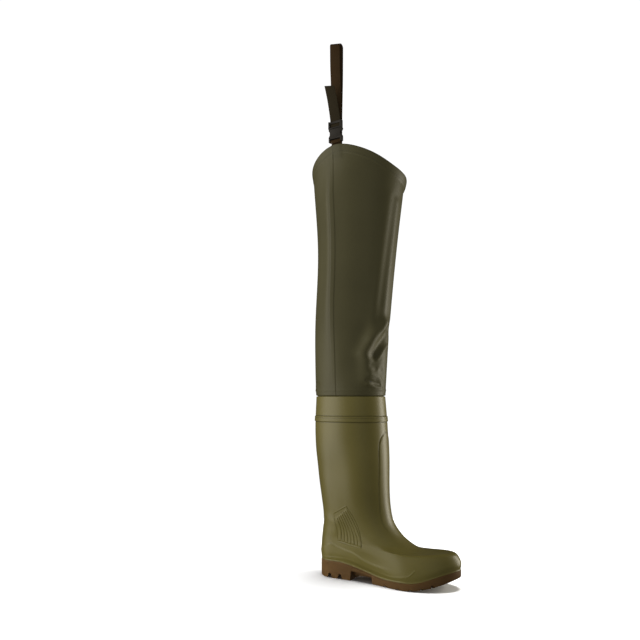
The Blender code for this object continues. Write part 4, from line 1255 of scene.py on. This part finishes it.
# %% Groove tools
TOOL_BELOW = 6.0
RIM_HALF_WIDTHS = (36.0, 46.0)
FORE_GROOVE = {"width": 6.0, "depth": 5.5, "rim": 0.45}
FORE_START_X = 62.0
FORE_PITCH = 25.5
FORE_SLANT = math.tan(math.radians(38.0))
FORE_REACH = (-15.0, 66.0, 19)
HEEL_GROOVE = {"width": 5.5, "depth": 9.5, "flare": 5.5}
HEEL_APEXES = (-20.0, -44.0)
SLOT_HALF = 3.0
SLOT_PLACES = (-10.0, 10.0)
SLOT_ENDS = (-44.0, 15.5)
SLOT_DEPTH = 5.0


def add_groove(shape, course, width, depth, flare=0.0, rim=1.0):
    """Groove tool along a course of places under the foot, flared at its mouth and shallower at the rim."""
    stations = []
    for x, y in course:
        left, right = x - width / 2.0, x + width / 2.0
        low = [spring_height(place) - TOOL_BELOW for place in (left, right)]
        deep = depth * (1.0 - (1.0 - rim) * smooth(*RIM_HALF_WIDTHS, abs(y)))
        high = [spring_height(place) + deep for place in (right, left)]
        mouth = ((left - flare, y, low[0]), (right + flare, y, low[1]))
        stations.append((*mouth, (right, y, high[0]), (left, y, high[1])))
    add_bar(shape, stations)


def sole_tools():
    """Tools that cut the tread: two slanted families, two chevrons and two slots."""
    tools = []
    for side in (-1.0, 1.0):
        family = bmesh.new()
        for k in range(5):
            start = FORE_START_X + (FORE_PITCH / 2.0 if side > 0.0 else 0.0) + FORE_PITCH * k
            across = np.linspace(*FORE_REACH)
            course = [(start + place * FORE_SLANT, side * place) for place in across]
            add_groove(family, course, **FORE_GROOVE)
        tools.append(bmesh_object("forepart_tool", family))
    heel = bmesh.new()
    for apex in HEEL_APEXES:
        add_groove(heel, [(apex + 3.0 * abs(k), 12.0 * k) for k in range(-4, 5)], **HEEL_GROOVE)
    tools.append(bmesh_object("heel_tool", heel))
    slots = bmesh.new()
    back, front = SLOT_ENDS
    for middle in SLOT_PLACES:
        low = (back, middle - SLOT_HALF, -TOOL_BELOW)
        add_block(slots, low, (front, middle + SLOT_HALF, SLOT_DEPTH))
    tools.append(bmesh_object("slot_tool", slots))
    return tools


print("forepart grooves lie", FORE_PITCH, "mm apart and are", FORE_GROOVE["depth"], "mm deep")

# %% Outsole
PLATE_HALF = 20.0
PLATE_LOW_Z = 8.0
BEVEL_TURN = 35.0
SHARP_TURN = 40.0


def cut(piece, tool, operation="DIFFERENCE"):
    """Boolean step on a piece."""
    step = piece.modifiers.new(tool.name, "BOOLEAN")
    step.operation = operation
    step.object = tool
    step.solver = "EXACT"


def soften(piece, width):
    """Rounded edges, smooth faces and sharp creases where the form turns hard."""
    bevel = piece.modifiers.new("edges", "BEVEL")
    bevel.width = width * MM
    bevel.segments = 2
    bevel.limit_method = "ANGLE"
    bevel.angle_limit = math.radians(BEVEL_TURN)
    keep_result(piece)
    shade_smooth(piece, SHARP_TURN)


outsole = bmesh_object("lugged_outsole", sole_body())
plate = bmesh.new()
plate_ends = []
for x in (HEEL_BREAST_X - 2.0, FOREPART_X + 2.0):
    top = waist_height(x) + 2.0
    corners = ((-PLATE_HALF, PLATE_LOW_Z), (PLATE_HALF, PLATE_LOW_Z), (PLATE_HALF, top), (-PLATE_HALF, top))
    plate_ends.append([(x, *corner) for corner in corners])
add_bar(plate, plate_ends)
sole_helpers = [bmesh_object("waist_plate", plate)]
cut(outsole, sole_helpers[0], "UNION")
sole_helpers += sole_tools()
for tool in sole_helpers[1:]:
    cut(outsole, tool)
soften(outsole, 0.6)
for tool in sole_helpers:
    bpy.data.objects.remove(tool, do_unlink=True)
paint(outsole, BROWN)
wear(outsole, "outsole")

# %% [markdown]
# ## Webbing
# The belt strap and its short tab are flat woven webbing, 25 mm wide. A ribbon along a path is a natural job
# for Geometry Nodes: a rounded profile is swept along the path, and the path's and the profile's own lengths
# stay on the mesh as attributes, so that the weave in the material follows every bend. Round the plug's bar
# the webbing turns over, and the free tail is painted darker and greyer, as painted shade.

# %% Webbing finish
TAIL_RUN = 0.449


def webbing_finish():
    """Ribbed weave with slanted threads."""
    finish = Finish("webbing", 0.85, Specular_IOR_Level=0.08)
    run, across = finish.attribute("run"), finish.attribute("across")
    slant = across.calc("PINGPONG", across, 0.0022)
    rows = 0.5 + 0.5 * ((run + slant * 0.9) * (2.0 * math.pi / 0.0017)).sine()
    cords = 0.5 + 0.5 * (across * (2.0 * math.pi / 0.0011)).sine()
    fluff = finish.noise(1800.0, 2.0)
    drift = finish.noise(30.0, 2.0)
    colour = finish.mix(rows * 0.7 + fluff * 0.3, (0.020, 0.0112, 0.0042), (0.040, 0.0220, 0.0086))
    colour = finish.mix(drift.step(0.35, 0.75) * 0.3, colour, (0.040, 0.026, 0.012))
    # Painted shade: the free tail is darker and greyer than the rest of the webbing.
    colour = finish.mix(run.step(TAIL_RUN - 0.004, TAIL_RUN) * 0.75, colour, (0.016, 0.0140, 0.0078))
    finish.feed("Base Color", colour)
    finish.feed("Roughness", 0.78 + 0.16 * fluff)
    finish.feed("Normal", finish.bump(rows * 0.75 + cords * 0.25, 0.00025, 0.7))
    return finish.material


WEBBING = webbing_finish()
print("made", WEBBING.name)

# %% Webbing tree
def webbing_tree():
    """Rounded ribbon along a path, with its lengths kept for the weave."""
    maker, given = new_tree("webbing", Width=FLOAT, Thickness=FLOAT, Across="NodeSocketVector")
    store = {"data_type": "FLOAT", "domain": "POINT"}
    path = maker.node("GeometryNodeMeshToCurve", None, {"Mesh": given["Geometry"]})
    lie = {"Curve": path, "Normal": given["Across"]}
    path = maker.node("GeometryNodeSetCurveNormal", {"mode": "FREE"}, lie)
    length = maker.node("GeometryNodeSplineParameter", None, None, "Length")
    kept = {"Geometry": path, "Name": "run", "Value": length}
    path = maker.node("GeometryNodeStoreNamedAttribute", store, kept)
    sides = {"Width": given["Width"], "Height": given["Thickness"]}
    profile = maker.node("GeometryNodeCurvePrimitiveQuadrilateral", None, sides)
    corner = {"Curve": profile, "Radius": given["Thickness"] * 0.42, "Count": 3}
    profile = maker.node("GeometryNodeFilletCurve", {"mode": "POLY"}, corner)
    corner = maker.node("GeometryNodeInputPosition")
    place = maker.node("ShaderNodeSeparateXYZ", None, {"Vector": corner}, "X")
    kept = {"Geometry": profile, "Name": "across", "Value": place}
    profile = maker.node("GeometryNodeStoreNamedAttribute", store, kept)
    swept = {"Curve": path, "Profile Curve": profile, "Fill Caps": True}
    close_tree(maker, maker.node("GeometryNodeCurveToMesh", None, swept), given["Material"])
    return maker.tree


WEBBING_TREE = webbing_tree()
print("tree", WEBBING_TREE.name, "has", len(WEBBING_TREE.nodes), "nodes")

# %% [markdown]
# ## The strap's own frame
# Strap and buckle stand on the outer side of the rim, a few degrees turned. Their sizes are given along the
# rim, out from the leg and up, so the strap's path is a line in a side view: up from inside the rim, over the
# top, down to the plug, round its bar and up again as the free tail.

# %% Frame of the strap
STRAP_TURN = math.radians(4.0)
STRAP_FORWARD = np.array((math.cos(STRAP_TURN), -math.sin(STRAP_TURN), 0.0))
STRAP_OUTWARD = np.array((-math.sin(STRAP_TURN), -math.cos(STRAP_TURN), 0.0))
STRAP_X = 12.5
STRAP_Z = np.array(905.0)
half_depth, _, centre_x = leg_section(STRAP_Z)
STRAP_FOOT = leg_point(STRAP_Z, np.arccos((STRAP_X - centre_x) / half_depth)) * (1.0, 1.0, 0.0)


def strap_point(along, out, z):
    """Place in the strap's frame, in millimetres."""
    return STRAP_FOOT + STRAP_FORWARD * along + STRAP_OUTWARD * out + np.array((0.0, 0.0, z))


print("the strap stands over", np.round(STRAP_FOOT[:2], 1), "mm from the shaft axis")

# %% Webbing along a path
WEBBING_WIDTH = 25.0
WEBBING_THICKNESS = 1.5
STRAP_LEAN = 0.22


def arc(out, z, radius, start, stop, steps):
    """Places on an arc in the side view; angles in degrees from straight out."""
    angles = np.radians(np.linspace(start, stop, steps + 1))
    return [(out + radius * math.cos(angle), z + radius * math.sin(angle)) for angle in angles]


def curved(path, steps):
    """More places on a smooth curve through a path."""
    path = np.array(path)
    ends = np.vstack((2.0 * path[0] - path[1], path, 2.0 * path[-1] - path[-2]))
    places = []
    for four in zip(ends, ends[1:], ends[2:], ends[3:]):
        places += [through(*four, share) for share in np.arange(steps) / steps]
    return places + [path[-1]]


def lean_forward(piece):
    """Tilt the upper stretch of the webbing a little to the front, as it hangs in the photo."""
    flat = np.zeros(3 * len(piece.data.vertices))
    piece.data.vertices.foreach_get("co", flat)
    points = flat.reshape(-1, 3) / MM - SHAFT_AXIS
    along = (points - STRAP_FOOT) @ STRAP_FORWARD
    points[:, 2] -= STRAP_LEAN * along * smooth(968.0, 1010.0, points[:, 2])
    piece.data.vertices.foreach_set("co", to_metres(points).ravel())
    piece.data.update()


def webbing_piece(name, path, node):
    """Webbing along a path of the side view."""
    piece = new_line(name, [strap_point(0.0, out, z) for out, z in path])
    across = tuple(float(value) for value in STRAP_FORWARD)
    run_tree(piece, WEBBING_TREE, WEBBING,
             Width=WEBBING_WIDTH * MM, Thickness=WEBBING_THICKNESS * MM, Across=across)
    lean_forward(piece)
    shade_smooth(piece, 60.0)
    wear(piece, node)
    return piece


print("webbing:", WEBBING_WIDTH, "by", WEBBING_THICKNESS, "mm")

# %% Tab and strap
BAR_OUT = 1.0
SOCKET_BAR_Z = 920.5
SOCKET_BAR_ROUND = 2.25
PLUG_BAR_Z = 953.0
PLUG_BAR_ROUND = 2.05
LOOP_OUT, LOOP_Z, LOOP_ROUND = -2.5, 1132.0, 6.9
tab_path = curved([(-5.7, 868.0), (-4.3, 886.0), (-1.9, 904.0), (-1.5, 913.0)], 8)
tab_path += arc(BAR_OUT, SOCKET_BAR_Z, SOCKET_BAR_ROUND, 180.0, 0.0, 16)
tab_path.append((BAR_OUT + SOCKET_BAR_ROUND, SOCKET_BAR_Z - 5.0))
webbing_piece("strap_tab", tab_path, "webbing_tab")
climb = [(-8.2, 862.0), (-6.4, 884.0), (-4.7, 905.0), (-4.7, 930.0), (-4.9, 962.0), (-6.0, 1000.0),
         (-8.3, 1060.0), (-9.35, 1124.0)]
drop = [(4.1, 1120.0), (3.4, 1085.0), (0.8, 1040.0), (-0.8, 1000.0), (-1.05, 966.0)]
tail = [(3.05, 962.5), (4.2, 970.0), (9.0, 988.0), (17.0, 1012.0), (26.0, 1034.0)]
strap_path = curved(climb, 8) + arc(LOOP_OUT, LOOP_Z, LOOP_ROUND, 180.0, 0.0, 24) + curved(drop, 8)
strap_path += arc(BAR_OUT, PLUG_BAR_Z, PLUG_BAR_ROUND, 180.0, 360.0, 18) + curved(tail, 8)
strap = webbing_piece("belt_strap", strap_path, "webbing_strap")
strap_corners = np.array((strap.bound_box[0], strap.bound_box[6])) / MM
print("strap box, mm:", np.round(strap_corners, 1).tolist())

# %% [markdown]
# ## The buckle
# A side-release buckle is two injection-moulded halves. Their CAD solids already have the mouth, the side
# windows, the bars and the springy prongs, so copies of them are merged, the socket's sides are pinched in
# where two fingers press, and every edge is rounded as a mould leaves it.

# %% Plastic finish
def plastic_finish():
    """Black moulded plastic with a fine spark-eroded grain."""
    finish = Finish("black_plastic", 0.55, Specular_IOR_Level=0.08)
    grain = finish.noise(2600.0, 2.0)
    drift = finish.noise(60.0, 2.0)
    finish.feed("Base Color", finish.mix(drift, (0.0186, 0.0163, 0.0140), (0.0272, 0.0240, 0.0206)))
    finish.feed("Roughness", 0.48 + 0.16 * grain)
    finish.feed("Normal", finish.bump(grain, 0.00008, 0.6))
    return finish.material


PLASTIC = plastic_finish()
print("made", PLASTIC.name)

# %% Buckle halves
GRIP_RADIUS = 9.5
GRIP_DEPTH = 30.0
GRIP_ALONG = 22.5
GRIP_Z = 936.5


def merged_copy(name, node):
    """Copy of a CAD solid with its loose triangles joined."""
    shape = bmesh.new()
    shape.from_mesh(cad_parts[node].data)
    bmesh.ops.remove_doubles(shape, verts=shape.verts, dist=0.00001)
    bmesh.ops.dissolve_limit(shape, angle_limit=math.radians(1.0), verts=shape.verts, edges=shape.edges)
    return bmesh_object(name, shape)


def finger_grips():
    """Two upright rounds that pinch the sides of the socket."""
    shape = bmesh.new()
    lie = Vector(STRAP_OUTWARD).to_track_quat("Z", "Y").to_matrix().to_4x4()
    sizes = {"radius1": GRIP_RADIUS * MM, "radius2": GRIP_RADIUS * MM, "depth": GRIP_DEPTH * MM}
    for side in (-1.0, 1.0):
        place = Matrix.Translation(to_metres(strap_point(side * GRIP_ALONG, BAR_OUT, GRIP_Z)))
        bmesh.ops.create_cone(shape, cap_ends=True, segments=40, matrix=place @ lie, **sizes)
    return bmesh_object("finger_grips", shape)


socket = merged_copy("buckle_socket_half", "buckle_socket")
grips = finger_grips()
cut(socket, grips)
soften(socket, 0.45)
bpy.data.objects.remove(grips, do_unlink=True)
plug = merged_copy("buckle_plug_half", "buckle_plug")
soften(plug, 0.4)
for half, node in ((socket, "buckle_socket"), (plug, "buckle_plug")):
    paint(half, PLASTIC)
    wear(half, node)

# %% [markdown]
# ## Insole
# The insole lies deep in the boot and only shows from above. Its CAD solid has the right shape, so it stays
# and only gets a felt finish.

# %% Insole finish
def felt_finish():
    """Grey felt over foam."""
    finish = Finish("insole_foam", 0.9)
    fibre = finish.noise(900.0, 4.0)
    finish.feed("Base Color", finish.mix(fibre, (0.050, 0.050, 0.050), (0.110, 0.110, 0.108)))
    finish.feed("Normal", finish.bump(fibre, 0.0003, 0.6))
    return finish.material


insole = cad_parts["insole"]
insole.material_slots[0].material = felt_finish()
print(insole.name, "keeps its CAD shape")

# %% [markdown]
# ## Floor, light and camera
# The photo is a white studio shot: a large soft light on the left, a narrow one on the right that draws the
# bright edge down the shin, a weak fill from the front and a low reflector by the heel. The white floor has a
# light of its own from above, joined to it by light linking, so that it burns out to white and keeps only the
# contact shadow; it throws no light back on the boot. The camera stands at knee height and looks slightly up.

# %% Floor
FLOOR_RADIUS = 0.75
floor_finish = Finish("white_floor", 1.0, Base_Color=(0.88, 0.88, 0.88, 1.0), Specular_IOR_Level=0.0)
disc = bmesh.new()
bmesh.ops.create_circle(disc, cap_ends=True, segments=96, radius=FLOOR_RADIUS)
floor = bmesh_object("floor", disc)
paint(floor, floor_finish.material)
floor.visible_diffuse = False
floor.visible_glossy = False
print("floor radius", FLOOR_RADIUS, "m")

# %% Light
VIEW_TURN = math.radians(28.0)
TO_CAMERA = Vector((math.sin(VIEW_TURN), -math.cos(VIEW_TURN), 0.0))
TO_RIGHT = Vector((math.cos(VIEW_TURN), math.sin(VIEW_TURN), 0.0))
SHAFT = Vector((SHAFT_AXIS[0] * MM, SHAFT_AXIS[1] * MM, 0.0))


def softbox(name, right, near, up, aim_up, width, height, power, colour=(1.0, 1.0, 1.0), aim_right=0.0):
    """Area light placed by how far right, near and up it is from the shaft's foot, in metres."""
    lamp = bpy.data.lights.new(name, "AREA")
    lamp.shape = "RECTANGLE"
    lamp.size, lamp.size_y = width, height
    lamp.energy = power
    lamp.color = colour
    box = new_object(name, lamp)
    box.location = SHAFT + TO_RIGHT * right + TO_CAMERA * near + Vector((0.0, 0.0, up))
    aim = SHAFT + TO_RIGHT * aim_right + Vector((0.0, 0.0, aim_up)) - box.location
    box.rotation_euler = aim.to_track_quat("-Z", "Y").to_euler()
    box.visible_camera = False
    return box


left = softbox("left_softbox", right=-1.31, near=0.33, up=0.55, aim_up=0.45, width=1.3, height=1.9,
               power=28.5, colour=(1.0, 0.972, 0.88))
softbox("right_strip", right=1.34, near=-0.22, up=0.30, aim_up=0.30, width=0.55, height=1.3, power=24.5,
        colour=(1.0, 0.95, 0.82))
fill = softbox("front_fill", right=0.0, near=1.35, up=0.75, aim_up=0.5, width=1.0, height=1.9, power=6.5)
reflector = softbox("low_reflector", right=-0.44, near=0.38, up=0.03, aim_up=-0.06, width=0.4, height=0.06,
                    power=0.24, aim_right=-0.12)
reflector.data.spread = math.radians(50.0)
for box in (fill, reflector):
    box.visible_glossy = False
sun = bpy.data.lights.new("overhead_sweep", "SUN")
sun.energy = 4.6
sun.angle = math.radians(26.0)
overhead = new_object("overhead_sweep", sun)
overhead.rotation_euler = (TO_RIGHT * -0.05 + Vector((0.0, 0.0, -1.0))).to_track_quat("-Z", "Y").to_euler()
print("lights:", [item.name for item in bpy.data.lights])

# %% Light linking and world
floor_only = bpy.data.collections.new("floor_only")
floor_only.objects.link(floor)
overhead.light_linking.receiver_collection = floor_only
boot_only = bpy.data.collections.new("all_but_floor")
boot_only.objects.link(floor)
boot_only.collection_objects[0].light_linking.link_state = "EXCLUDE"
for box in (left, fill, reflector):
    box.light_linking.receiver_collection = boot_only
AMBIENT = 0.18
world = bpy.data.worlds.new("white_studio")
bpy.context.scene.world = world
world.use_nodes = True
studio = Maker(world.node_tree)
seen = studio.node("ShaderNodeLightPath", None, None, "Is Camera Ray")
mirrored = studio.node("ShaderNodeLightPath", None, None, "Is Glossy Ray")
background = world.node_tree.nodes["Background"]
background.inputs["Color"].default_value = (1.0, 1.0, 1.0, 1.0)
studio.plug(background.inputs["Strength"], AMBIENT + 0.87 * seen - 0.14 * mirrored)
bpy.context.scene.view_settings.view_transform = "Standard"
print("world", world.name, "lights the shadows with", AMBIENT)

# %% Camera
IMAGE_PIXELS = 640.0
FOCAL_PIXELS = 690.0
EYE_DISTANCE = 1.510
EYE_HEIGHT = 0.378
ASIDE_PIXELS = 31.5
TILT = 6.28
aside = math.atan(ASIDE_PIXELS / FOCAL_PIXELS)
tilt = math.radians(TILT)
ahead = -TO_CAMERA * math.cos(aside) - TO_RIGHT * math.sin(aside)
look = ahead * math.cos(tilt) + Vector((0.0, 0.0, math.sin(tilt)))
lens = bpy.data.cameras.new("camera")
lens.sensor_width = 36.0
lens.lens = FOCAL_PIXELS / IMAGE_PIXELS * lens.sensor_width
camera = new_object("camera", lens)
camera.location = SHAFT + TO_CAMERA * EYE_DISTANCE + Vector((0.0, 0.0, EYE_HEIGHT))
camera.rotation_euler = look.to_track_quat("-Z", "Y").to_euler()
bpy.context.scene.camera = camera
print("lens", round(lens.lens, 2), "mm, eye at", [round(value, 3) for value in camera.location])
